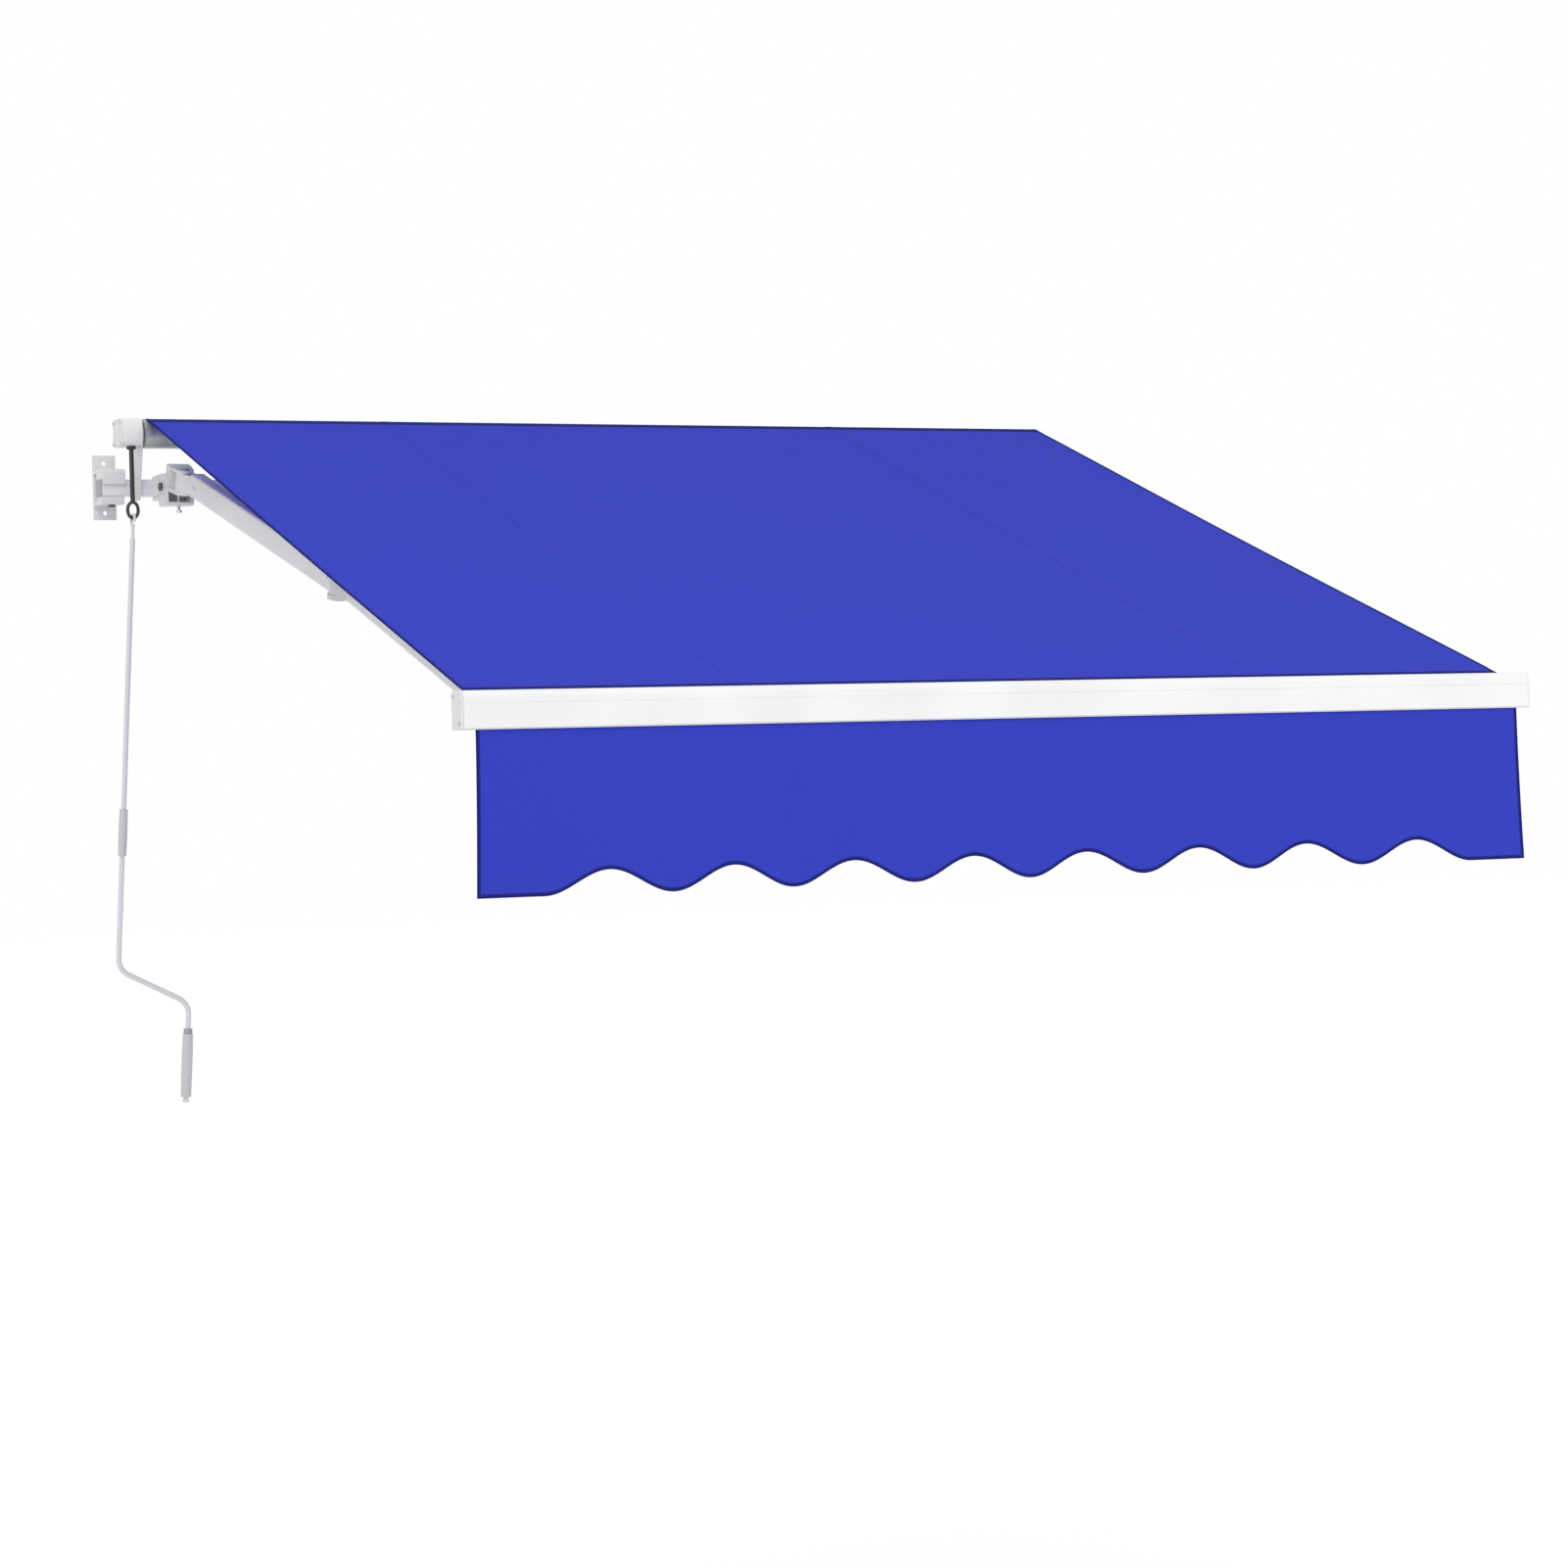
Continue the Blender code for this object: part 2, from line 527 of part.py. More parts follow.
def gearbox(carrier):
    """A housing on the left roller bracket, with a worm on an upright shaft that drives a wheel."""
    inner_x = -(ROLLER_PLATE_X + ROLLER_PLATE / 2 + SEAT)
    outer_x = inner_x - GEARBOX_DEPTH
    middle_x = (inner_x + outer_x) / 2
    y0, y1 = ROLLER_Y - GEARBOX_FRONT, ROLLER_Y + GEARBOX_BACK
    z0, z1 = ROLLER_Z - GEARBOX_HEIGHT / 2, ROLLER_Z + GEARBOX_HEIGHT / 2
    worm_y = ROLLER_Y - WHEEL_RADIUS - WORM_RADIUS - WORM_GAP
    housing = outline("gearbox_housing", [rounded_rectangle(y0, y1, z0, z1, 2 * GEARBOX_EDGE, 6)], GEARBOX_DEPTH)
    put(as_part(housing, WHITE_COAT), None, (middle_x, 0, 0), ACROSS)
    wall = GEARBOX_WALL
    hollow = outline("gearbox_hollow", [rounded_rectangle(y0 + wall, y1 - wall, z0 + wall, z1 - wall,
                                                          GEARBOX_EDGE, 4)], GEARBOX_DEPTH)
    cut(housing, put(hollow, None, (middle_x - wall, 0, 0), ACROSS))
    shaft_hole = cylinder("gearbox_shaft_hole", PIN_RADIUS + RUNNING, 4 * wall, 20)
    cut(housing, put(shaft_hole, None, (inner_x, ROLLER_Y, ROLLER_Z), ALONG_X))
    stem_hole = cylinder("gearbox_stem_hole", WORM_STEM_RADIUS + RUNNING, 4 * wall, 20)
    cut(housing, put(stem_hole, None, (middle_x, worm_y, z0)))
    cover = outline("gearbox_cover", [rounded_rectangle(y0, y1, z0, z1, 2 * GEARBOX_EDGE, 6)], wall)
    put(as_part(bevel(cover, 0.0008, 1), WHITE_COAT), None, (outer_x - SEAT - wall / 2, 0, 0), ACROSS)
    wheel = outline("worm_wheel", [circle((0, 0), WHEEL_RADIUS, 32), circle((0, 0), PIN_RADIUS + SEAT, 20)],
                    WHEEL_WIDTH)
    put(as_part(wheel, BRONZE), carrier, (middle_x, 0, 0), ACROSS)
    stem_top = z1 - wall - SEAT
    eye_top = WORM_STEM_BOTTOM
    worm = turned("worm_shaft", [
        (0, stem_top), (WORM_STEM_RADIUS, stem_top), (WORM_STEM_RADIUS, ROLLER_Z + WORM_LENGTH / 2),
        (WORM_RADIUS, ROLLER_Z + WORM_LENGTH / 2), (WORM_RADIUS, ROLLER_Z - WORM_LENGTH / 2),
        (WORM_STEM_RADIUS, ROLLER_Z - WORM_LENGTH / 2), (WORM_STEM_RADIUS, eye_top), (0, eye_top)])
    axis = joint_empty("worm_axis", None, (middle_x, worm_y, 0))
    put(as_part(worm, BLACK_PLASTIC), axis)
    ring_width = EYE_WIDTH / 2 - EYE_WIRE_RADIUS
    ring_height = EYE_HEIGHT / 2 - EYE_WIRE_RADIUS
    eye_centre = eye_top - ring_height + EYE_WIRE_RADIUS / 2
    turns = [2 * math.pi * i / 24 for i in range(24)]
    ring = wire("crank_eye", [(ring_width * math.cos(t), 0, eye_centre + ring_height * math.sin(t)) for t in turns],
                EYE_WIRE_RADIUS, 8, True)
    join(worm, put(ring, axis))
    eye_bottom = eye_centre - ring_height
    return axis, eye_bottom


def smooth_route(corners, radius, steps=8):
    """A route through corner points, with each inner corner rounded to an arc-like curve."""
    route = [Vector(corners[0])]
    for before, corner, after in zip(corners, corners[1:], corners[2:]):
        before, corner, after = Vector(before), Vector(corner), Vector(after)
        start = corner + (before - corner).normalized() * radius
        end = corner + (after - corner).normalized() * radius
        for i in range(steps + 1):
            t = i / steps
            route.append(start * (1 - t) ** 2 + corner * 2 * t * (1 - t) + end * t ** 2)
    route.append(Vector(corners[-1]))
    return route


def crank(axis, eye_bottom):
    """The cranked rod hangs by its hook from the eye, leaning so that its weight is under the eye."""
    swing = joint_empty("crank_swing", axis, (0, 0, eye_bottom))
    leaning = joint_empty("crank_line", swing, (0, 0, 0), (0, CRANK_LEAN, 0))
    hook_rise = EYE_WIRE_RADIUS + CRANK_HOOK_WIRE + SEAT
    hook_centre = hook_rise - CRANK_HOOK_RADIUS
    turns = [math.radians(-90 + CRANK_HOOK_SWEEP * i / 22) for i in range(23)]
    hook_route = [(0, CRANK_HOOK_RADIUS * math.cos(t), hook_centre + CRANK_HOOK_RADIUS * math.sin(t)) for t in turns]
    rod_top = hook_centre - CRANK_HOOK_RADIUS - CRANK_NECK_LENGTH
    rod_foot = rod_top - CRANK_ROD_LENGTH
    arm_foot = rod_foot - CRANK_ARM_DROP
    tip = arm_foot - CRANK_HANDLE_LENGTH
    offset = CRANK_ARM_OFFSET
    route = smooth_route([(0, 0, rod_top), (0, 0, rod_foot), (offset, 0, arm_foot), (offset, 0, tip)],
                         CRANK_BEND_RADIUS)
    rod = wire("crank_rod", route, CRANK_ROD_RADIUS, 12)
    put(as_part(rod, GREY_COAT), leaning)
    neck = cylinder("crank_neck", CRANK_NECK_RADIUS, CRANK_NECK_LENGTH + 0.012, 16,
                    (0, 0, rod_top + CRANK_NECK_LENGTH / 2))
    join(rod, put(neck, leaning))
    hook = wire("crank_hook", hook_route, CRANK_HOOK_WIRE, 8)
    join(rod, put(hook, leaning))
    sleeve_top = rod_top - SLEEVE_DOWN
    bore = CRANK_ROD_RADIUS + RUNNING
    sleeve = turned("crank_sleeve", [
        (bore, sleeve_top), (SLEEVE_RADIUS - 0.002, sleeve_top), (SLEEVE_RADIUS, sleeve_top - 0.004),
        (SLEEVE_RADIUS, sleeve_top - SLEEVE_LENGTH + 0.004), (SLEEVE_RADIUS - 0.002, sleeve_top - SLEEVE_LENGTH),
        (bore, sleeve_top - SLEEVE_LENGTH), (bore, sleeve_top)], 16)
    put(as_part(sleeve, GREY_PLASTIC), leaning)
    grip_top = tip + GRIP_LENGTH + 0.012
    collar = turned("crank_collar", [
        (bore, grip_top + COLLAR_LENGTH + SEAT), (COLLAR_RADIUS, grip_top + COLLAR_LENGTH + SEAT),
        (COLLAR_RADIUS, grip_top + SEAT), (bore, grip_top + SEAT),
        (bore, grip_top + COLLAR_LENGTH + SEAT)], 16)
    put(as_part(collar, GREY_PLASTIC), leaning, (offset, 0, 0))
    waist = 0.85 * GRIP_RADIUS
    low = grip_top - GRIP_LENGTH
    grip = turned("crank_handle", [
        (bore, grip_top), (waist, grip_top), (GRIP_RADIUS, grip_top - 0.2 * GRIP_LENGTH),
        (GRIP_RADIUS, grip_top - 0.7 * GRIP_LENGTH), (waist, grip_top - 0.92 * GRIP_LENGTH),
        (0.6 * waist + 0.4 * bore, low), (bore, low), (bore, grip_top)], 16)
    put(as_part(grip, GREY_PLASTIC), leaning, (offset, 0, 0))
    stop = cylinder("handle_stop", CRANK_ROD_RADIUS + 0.002, 0.004, 16, (offset, 0, tip + 0.002))
    join(rod, put(stop, leaning))


def arm_bracket(side):
    """A clamp round the bar with two cheeks, and between them a block that tilts on a bolt."""
    wall = BAR_SIDE / 2 + ARM_BRACKET_WALL
    seat = BAR_SIDE / 2 + SEAT
    nose = BAR_Y - ARM_BRACKET_NOSE
    x = side * SHOULDER_X
    bracket = outline(side_name("arm_bracket", side), [[
        (BAR_Y + wall, -wall), (BAR_Y + wall, wall), (BAR_Y - 0.5 * wall, ARM_BRACKET_TOP),
        (nose + 0.012, ARM_BRACKET_TOP), (nose + 0.004, ARM_BRACKET_TOP - 0.003), (nose, ARM_BRACKET_TOP - 0.012),
        (nose, ARM_BRACKET_BOTTOM + 0.005), (nose + 0.005, ARM_BRACKET_BOTTOM), (BAR_Y - wall, ARM_BRACKET_BOTTOM),
        (BAR_Y - 0.5 * wall, -wall)],
        rounded_rectangle(BAR_Y - seat, BAR_Y + seat, -seat, seat, 0.003)], ARM_BRACKET_WIDTH)
    put(as_part(bracket, WHITE_COAT), None, (x, 0, 0), ACROSS)
    slot_width = ARM_BRACKET_WIDTH - 2 * ARM_BRACKET_CHEEK
    floor = ARM_BRACKET_BOTTOM + ARM_BRACKET_CHEEK
    slot_height = 2 * ARM_BRACKET_TOP - floor
    slot_back = BAR_Y - wall
    slot = box(side_name("cheek_slot", side), (slot_width, ARM_BRACKET_NOSE, slot_height),
               (x, slot_back - ARM_BRACKET_NOSE / 2, floor + slot_height / 2))
    cut(bracket, slot)
    tilt_y = BAR_Y - TILT_OUT
    bolt_hole = cylinder(side_name("tilt_hole", side), TILT_BOLT_RADIUS + RUNNING, 2 * ARM_BRACKET_WIDTH, 20)
    cut(bracket, put(bolt_hole, None, (x, tilt_y, 0), ALONG_X))
    screw_y = BAR_Y - PITCH_SCREW_OUT
    screw_hole = cylinder(side_name("screw_hole", side), PITCH_SCREW_RADIUS + SEAT, 4 * ARM_BRACKET_CHEEK, 24)
    cut(bracket, put(screw_hole, None, (x, screw_y, ARM_BRACKET_BOTTOM)))
    tilt_bolt(side, x, tilt_y)
    pitch_screw(side, x, screw_y, floor)
    tilt_block(side, slot_width - 2 * SEAT, tilt_y)


def tilt_bolt(side, x, y):
    half = ARM_BRACKET_WIDTH / 2 + SEAT
    bolt = cylinder(side_name("tilt_bolt", side), TILT_BOLT_RADIUS, 2 * half + 0.002, 20)
    for end in (-1, 1):
        head = cylinder(side_name("tilt_bolt_head", side), 1.75 * TILT_BOLT_RADIUS, 0.006, 6,
                        (0, 0, end * (half + 0.003)))
        join(bolt, put(head, None, (x, y, 0), ALONG_X))
    put(as_part(bolt, ZINC_STEEL), None, (x, y, 0), ALONG_X)


def pitch_screw(side, x, y, floor):
    """An upright screw in the bracket's floor, whose tip carries the tilt block."""
    along = (SHOULDER.y - y) / -math.cos(ARM_SLOPE)
    under = SHOULDER.z + (along * math.sin(ARM_SLOPE) - TILT_BLOCK_HEIGHT / 2 / math.cos(ARM_SLOPE))
    slope_drop = math.tan(ARM_SLOPE) * PITCH_SCREW_RADIUS
    tip = under - slope_drop - SEAT
    low = ARM_BRACKET_BOTTOM - 0.014
    screw = cylinder(side_name("pitch_screw", side), PITCH_SCREW_RADIUS, tip - low, 24, (0, 0, (tip + low) / 2))
    head = cylinder(side_name("pitch_screw_head", side), 1.8 * PITCH_SCREW_RADIUS, 0.006, 6, (0, 0, low))
    join(put(as_part(screw, ZINC_STEEL), None, (x, y, 0)), put(head, None, (x, y, 0)))


def tilt_block(side, width, tilt_y):
    """The block lies in the arms' plane: two ears for the shoulder pin, and a hub for the tilt bolt."""
    x = side * SHOULDER_X
    plane = joint_empty(side_name("shoulder_plane", side), None, (x, SHOULDER.y, SHOULDER.z), (ARM_SLOPE, 0, 0))
    back = (tilt_y - SHOULDER.y) * math.cos(ARM_SLOPE) - SHOULDER.z * math.sin(ARM_SLOPE)
    ears = hull(circle((0, 0), SHOULDER_EAR_RADIUS, 24)
                + [(-width / 2, SHOULDER_SLOT_BACK), (width / 2, SHOULDER_SLOT_BACK)])
    rear = [(-width / 2, back), (width / 2, back)]
    block = outline(side_name("tilt_block", side), [hull(ears + rear)], TILT_BLOCK_HEIGHT)
    put(as_part(block, WHITE_COAT), plane)
    hub = cylinder(side_name("tilt_hub", side), TILT_HUB_RADIUS, width, 20)
    join(block, put(hub, None, (x, tilt_y, 0), ALONG_X))
    slot_height = KNUCKLE_HEIGHT + 2 * SEAT
    slot = box(side_name("shoulder_slot", side), (2 * width, SHOULDER_SLOT_BACK + 2 * SHOULDER_EAR_RADIUS, slot_height),
               (0, (SHOULDER_SLOT_BACK - 2 * SHOULDER_EAR_RADIUS) / 2, 0))
    cut(block, put(slot, plane))
    pin_hole = cylinder(side_name("shoulder_pin_hole", side), PIN_RADIUS + RUNNING, 2 * TILT_BLOCK_HEIGHT, 20)
    cut(block, put(pin_hole, plane))
    tilt_hole = cylinder(side_name("tilt_block_hole", side), TILT_BOLT_RADIUS + RUNNING, 2 * width, 20)
    cut(block, put(tilt_hole, None, (x, tilt_y, 0), ALONG_X))
    hinge_pin(side_name("shoulder_pin", side), TILT_BLOCK_HEIGHT, plane, (0, 0, 0))


def hinge_pin(name, height, parent, place):
    """A pin with a head on each end, riveted through two ears of that height."""
    half = height / 2 + SEAT
    top = half + PIN_HEAD_HEIGHT
    pin = turned(name, [(0, top), (0.8 * PIN_HEAD_RADIUS, top), (PIN_HEAD_RADIUS, top - 0.001),
                        (PIN_HEAD_RADIUS, half), (PIN_RADIUS, half), (PIN_RADIUS, -half), (PIN_HEAD_RADIUS, -half),
                        (PIN_HEAD_RADIUS, 0.001 - top), (0.8 * PIN_HEAD_RADIUS, -top), (0, -top)])
    return put(as_part(pin, ZINC_STEEL), parent, place)


def arm_tube(name, side, start, end, height, thickness, parent):
    """A drawn tube along the arm, offset to the inside of the pivots' line."""
    centre = -side * ARM_OFFSET
    outer = rounded_rectangle(centre - thickness / 2, centre + thickness / 2, -height / 2, height / 2, TUBE_EDGE)
    inner = rounded_rectangle(centre - thickness / 2 + TUBE_WALL, centre + thickness / 2 - TUBE_WALL,
                              TUBE_WALL - height / 2, height / 2 - TUBE_WALL, TUBE_EDGE - TUBE_WALL)
    tube = outline(name, [outer, inner], end - start)
    return put(as_part(tube, WHITE_COAT), parent, (0, -(start + end) / 2, 0), UPRIGHT)


def arm_casting(name, side, radius, boss_height, tube_height, tube_thickness, bore, parent, pivot, heading):
    """A boss round a pivot, drawn out to a collar and a plug that fills the tube's end.

    pivot is the pivot's distance down the arm, and heading is 1 where the tube lies beyond it, -1 before it.
    """
    centre = -side * ARM_OFFSET
    half = tube_thickness / 2
    mouth = -(pivot + heading * TUBE_START)
    boss_y = -pivot
    collar_middle = mouth + heading * (COLLAR_DEPTH / 2 + SEAT)
    edge = collar_middle
    shape = hull(circle((0, boss_y), radius, 24) + [(centre - half, edge), (centre + half, edge)])
    casting = outline(name, [shape], boss_height)
    put(as_part(casting, WHITE_COAT), parent)
    collar = box(name + "_collar", (tube_thickness, COLLAR_DEPTH, tube_height), (centre, collar_middle, 0))
    join(casting, put(bevel(collar, 0.003, 2), parent))
    plug = box(name + "_plug", (2 * (half - TUBE_WALL - SEAT), PLUG_LENGTH + COLLAR_DEPTH / 2,
                                tube_height - 2 * (TUBE_WALL + SEAT)),
               (centre, mouth - heading * (PLUG_LENGTH - COLLAR_DEPTH / 2) / 2, 0))
    join(casting, put(bevel(plug, TUBE_EDGE - TUBE_WALL, 2), parent))
    hole = cylinder(name + "_bore", bore, 2 * tube_height, 20)
    cut(casting, put(hole, parent, (0, boss_y, 0)))
    return casting


def ear_slot(name, casting, height, parent, pivot, heading, back):
    """Cuts the slot between two ears, open away from the tube and to both sides."""
    length = 4 * back
    slot = box(name, (0.2, length, height), (0, -pivot - heading * (back - length / 2), 0))
    cut(casting, put(slot, parent))


def fold_relief(side, fork, height, parent):
    """Cuts the folded tongue's outline from the web behind the elbow slot, so it can lie beside the upper arm."""
    centre = -side * ARM_OFFSET
    half = FOREARM_THICKNESS / 2 + RUNNING
    shape = hull(circle((0, 0), ELBOW_TONGUE_RADIUS + ELBOW_SLOT_ROOM, 24)
                 + [(centre - half, -TUBE_START), (centre + half, -TUBE_START)])
    relief = outline(side_name("fold_relief", side), [shape], height)
    cut(fork, put(relief, parent, (0, -LINK, 0), (0, 0, 2 * side * (ARM_LEAN + ARM_FOLD))))


def arm(side):
    """An upper arm and a forearm, joined by a fork and tongue at the elbow."""
    bore = PIN_RADIUS + RUNNING
    plane = joint_empty(side_name("arm_plane", side), None, (side * SHOULDER_X, SHOULDER.y, SHOULDER.z),
                        (ARM_SLOPE, 0, 0))
    upper = joint_empty(side_name("shoulder_axis", side), plane, (0, 0, 0), (0, 0, -side * ARM_LEAN))
    arm_tube(side_name("upper_arm", side), side, TUBE_START, LINK - TUBE_START, UPPER_HEIGHT, UPPER_THICKNESS, upper)
    arm_casting(side_name("shoulder_knuckle", side), side, KNUCKLE_RADIUS, KNUCKLE_HEIGHT, UPPER_HEIGHT,
                UPPER_THICKNESS, bore, upper, 0, 1)
    fork = arm_casting(side_name("elbow_fork", side), side, ELBOW_FORK_RADIUS, UPPER_HEIGHT, UPPER_HEIGHT,
                       UPPER_THICKNESS, bore, upper, LINK, -1)
    slot_height = ELBOW_TONGUE_HEIGHT + 2 * SEAT
    ear_slot(side_name("elbow_slot", side), fork, slot_height, upper, LINK, -1, ELBOW_TONGUE_RADIUS + ELBOW_SLOT_ROOM)
    fold_relief(side, fork, slot_height, upper)
    hinge_pin(side_name("elbow_pin", side), UPPER_HEIGHT, upper, (0, -LINK, 0))
    arm_spring(side, upper)
    fore = joint_empty(side_name("elbow_axis", side), upper, (0, -LINK, 0), (0, 0, 2 * side * ARM_LEAN))
    arm_tube(side_name("forearm", side), side, TUBE_START, LINK - TUBE_START, FOREARM_HEIGHT, FOREARM_THICKNESS, fore)
    arm_casting(side_name("elbow_tongue", side), side, ELBOW_TONGUE_RADIUS, ELBOW_TONGUE_HEIGHT, FOREARM_HEIGHT,
                FOREARM_THICKNESS, bore, fore, 0, 1)
    front_bore = bore if side < 0 else PIN_RADIUS + OPEN_PIVOT_CLEARANCE
    arm_casting(side_name("front_knuckle", side), side, FRONT_KNUCKLE_RADIUS, FRONT_KNUCKLE_HEIGHT, FOREARM_HEIGHT,
                FOREARM_THICKNESS, front_bore, fore, LINK, -1)


def arm_spring(side, parent):
    """The coil inside the upper arm that pushes the arm open, stretched between its two castings."""
    start = TUBE_START + PLUG_LENGTH + SPRING_WIRE + SEAT
    points_per_turn = 8
    count = SPRING_TURNS * points_per_turn
    route = []
    for i in range(count + 1):
        turn = 2 * math.pi * i / points_per_turn
        along = start + SPRING_LENGTH * i / count
        route.append((-side * ARM_OFFSET + SPRING_RADIUS * math.cos(turn), -along, SPRING_RADIUS * math.sin(turn)))
    coil = wire(side_name("arm_spring", side), route, SPRING_WIRE, 6)
    put(as_part(coil, ZINC_STEEL), parent)


def keyhole(centre, radius, half_mouth, direction, face, distance, sides=10):
    """Points round a groove whose mouth opens towards an angle, through a face with its own angle and distance."""
    spread = math.asin(half_mouth / radius)
    ux, uy = math.cos(direction), math.sin(direction)
    nx, ny = math.cos(face), math.sin(face)
    edges = []
    for across in (-half_mouth, half_mouth):
        x, y = -across * uy, across * ux
        reach = (distance - x * nx - y * ny) / (ux * nx + uy * ny)
        edges.append((centre[0] + x + reach * ux, centre[1] + y + reach * uy))
    around = circle(centre, radius, sides, direction - spread, direction + spread - 2 * math.pi)
    return [edges[0]] + around + [edges[1]]


def front_bar():
    """An extrusion with a groove for the cloth, one for the valance and a slot for the arm clamps."""
    back, front = BAR_BACK, -BAR_FRONT
    top, bottom = BAR_TOP, BAR_BOTTOM
    groove = BEAD_RADIUS + BEAD_CLEARANCE
    skin = BAR_SKIN
    slot_z = -FRONT_PIVOT_DROP
    valance_z = bottom + groove + 0.001
    step_z = top - (top - bottom) / 3
    shape = [(back, bottom), (back, slot_z - SLOT_MOUTH / 2), (back - skin, slot_z - SLOT_MOUTH / 2),
             (back - skin, slot_z - SLOT_HEIGHT / 2), (back - SLOT_DEPTH, slot_z - SLOT_HEIGHT / 2),
             (back - SLOT_DEPTH, slot_z + SLOT_HEIGHT / 2), (back - skin, slot_z + SLOT_HEIGHT / 2),
             (back - skin, slot_z + SLOT_MOUTH / 2), (back, slot_z + SLOT_MOUTH / 2)]
    shape += keyhole((0, 0), groove, GROOVE_MOUTH / 2, CLOTH_SLOPE, 0, back)
    shape += [(back, top), (front + 0.012, top), (front + 0.004, top - 0.003), (front, top - 0.012),
              (front, step_z + 0.001), (front + 0.001, step_z), (front, step_z - 0.001), (front, bottom + 0.003),
              (front + 0.003, bottom)]
    down = -math.pi / 2
    shape += keyhole((-VALANCE_OUT, valance_z), groove, GROOVE_MOUTH / 2, down, down, valance_z - bottom)
    shape += [(back - 0.003, bottom)]
    inside_back = back - SLOT_DEPTH - skin
    ceiling = top - 1.6 * skin
    hollow_top = [(front + 1.6 * skin, step_z), (-groove - skin, step_z), (-groove - skin, ceiling),
                  (front + 0.014, ceiling), (front + 1.6 * skin, top - 0.014)]
    hollow_low = rectangle(front + 1.6 * skin, inside_back, valance_z + groove + skin, step_z - skin)
    bar = outline("front_bar", [shape, hollow_top, hollow_low], CLOTH_WIDTH + 2 * BAR_OVERHANG)
    put(as_part(bar, WHITE_COAT), None, FRONT_BEAD, ACROSS)
    end = HALF_CLOTH + BAR_OVERHANG
    for side in (-1, 1):
        cap = outline(side_name("front_cap", side), [[
            (back, bottom), (back, top), (front + 0.012, top), (front + 0.004, top - 0.003), (front, top - 0.012),
            (front, bottom + 0.003), (front + 0.003, bottom)]], CAP_THICKNESS)
        place = (side * (end + SEAT + CAP_THICKNESS / 2), FRONT_BEAD.y, FRONT_BEAD.z)
        put(as_part(bevel(cap, 0.001, 1), WHITE_COAT), None, place, ACROSS)
        x0, x1 = hollow_low[0][0] + SEAT, hollow_low[1][0] - SEAT
        z0, z1 = hollow_low[0][1] + SEAT, hollow_low[2][1] - SEAT
        plug = box(side_name("front_cap_plug", side), (CAP_DEPTH, x1 - x0, z1 - z0), (0, (x0 + x1) / 2, (z0 + z1) / 2))
        join(cap, put(plug, None, (side * (end - CAP_DEPTH / 2 + 0.002), FRONT_BEAD.y, FRONT_BEAD.z)))
        screw_hole = cylinder(side_name("cap_screw_recess", side), 0.003, 0.004, 16)
        cut(cap, put(screw_hole, None, (side * (end + SEAT + CAP_THICKNESS), FRONT_BEAD.y + front + 0.012,
                                        FRONT_BEAD.z + step_z), ALONG_X))
    cloth_bead = cylinder("cloth_bead", BEAD_RADIUS, CLOTH_WIDTH, 20)
    put(as_part(cloth_bead, BLACK_PLASTIC), None, FRONT_BEAD, ALONG_X)
    valance_bead = cylinder("valance_bead", BEAD_RADIUS, CLOTH_WIDTH, 20)
    put(as_part(valance_bead, BLACK_PLASTIC), None,
        FRONT_BEAD + Vector((0, -VALANCE_OUT, valance_z)), ALONG_X)
    return valance_z


def arm_clamp(side):
    """A fork for the forearm's end on a plate, held by a foot in the front bar's back slot."""
    x = side * SHOULDER_X
    plane = joint_empty(side_name("front_plane", side), None, (x, FRONT_PIVOT.y, FRONT_PIVOT.z), (ARM_SLOPE, 0, 0))
    half_width = 0.4 * CLAMP_PLATE_WIDTH
    reach = FRONT_PIVOT_BACK - BAR_BACK - CLAMP_PLATE / 2
    shape = hull(circle((0, 0), CLAMP_RADIUS, 24) + [(-half_width, -reach), (half_width, -reach)])
    fork = outline(side_name("arm_clamp", side), [shape], CLAMP_HEIGHT)
    put(as_part(fork, WHITE_COAT), plane)
    slot_height = FRONT_KNUCKLE_HEIGHT + 2 * SEAT
    slot_front = FRONT_KNUCKLE_RADIUS + 0.008
    slot = box(side_name("clamp_slot", side), (0.2, 4 * slot_front, slot_height), (0, slot_front, 0))
    cut(fork, put(slot, plane))
    face = BAR_BACK_FACE + SEAT
    plate_middle = face + CLAMP_PLATE / 2
    level = FRONT_PIVOT.z
    trim = box(side_name("clamp_trim", side), (0.2, 0.1, 0.2), (x, plate_middle - 0.05, level))
    cut(fork, trim)
    plate = box(side_name("clamp_plate", side), (CLAMP_PLATE_WIDTH, CLAMP_PLATE, CLAMP_PLATE_HEIGHT),
                (x, plate_middle, level))
    join(fork, bevel(plate, 0.002, 2))
    neck = box(side_name("clamp_neck", side), (0.8 * CLAMP_PLATE_WIDTH, BAR_SKIN + 0.004, SLOT_MOUTH - 2 * SEAT),
               (x, face - BAR_SKIN / 2, level))
    join(fork, neck)
    foot_depth = SLOT_DEPTH - BAR_SKIN - 2 * SEAT
    foot = box(side_name("clamp_foot", side), (0.8 * CLAMP_PLATE_WIDTH, foot_depth, SLOT_HEIGHT - 2 * SEAT),
               (x, BAR_BACK_FACE - BAR_SKIN - SEAT - foot_depth / 2, level))
    join(fork, foot)
    bore = cylinder(side_name("clamp_bore", side), PIN_RADIUS + RUNNING, 2 * CLAMP_HEIGHT, 20)
    cut(fork, put(bore, plane))
    hinge_pin(side_name("front_pin", side), CLAMP_HEIGHT, plane, (0, 0, 0))


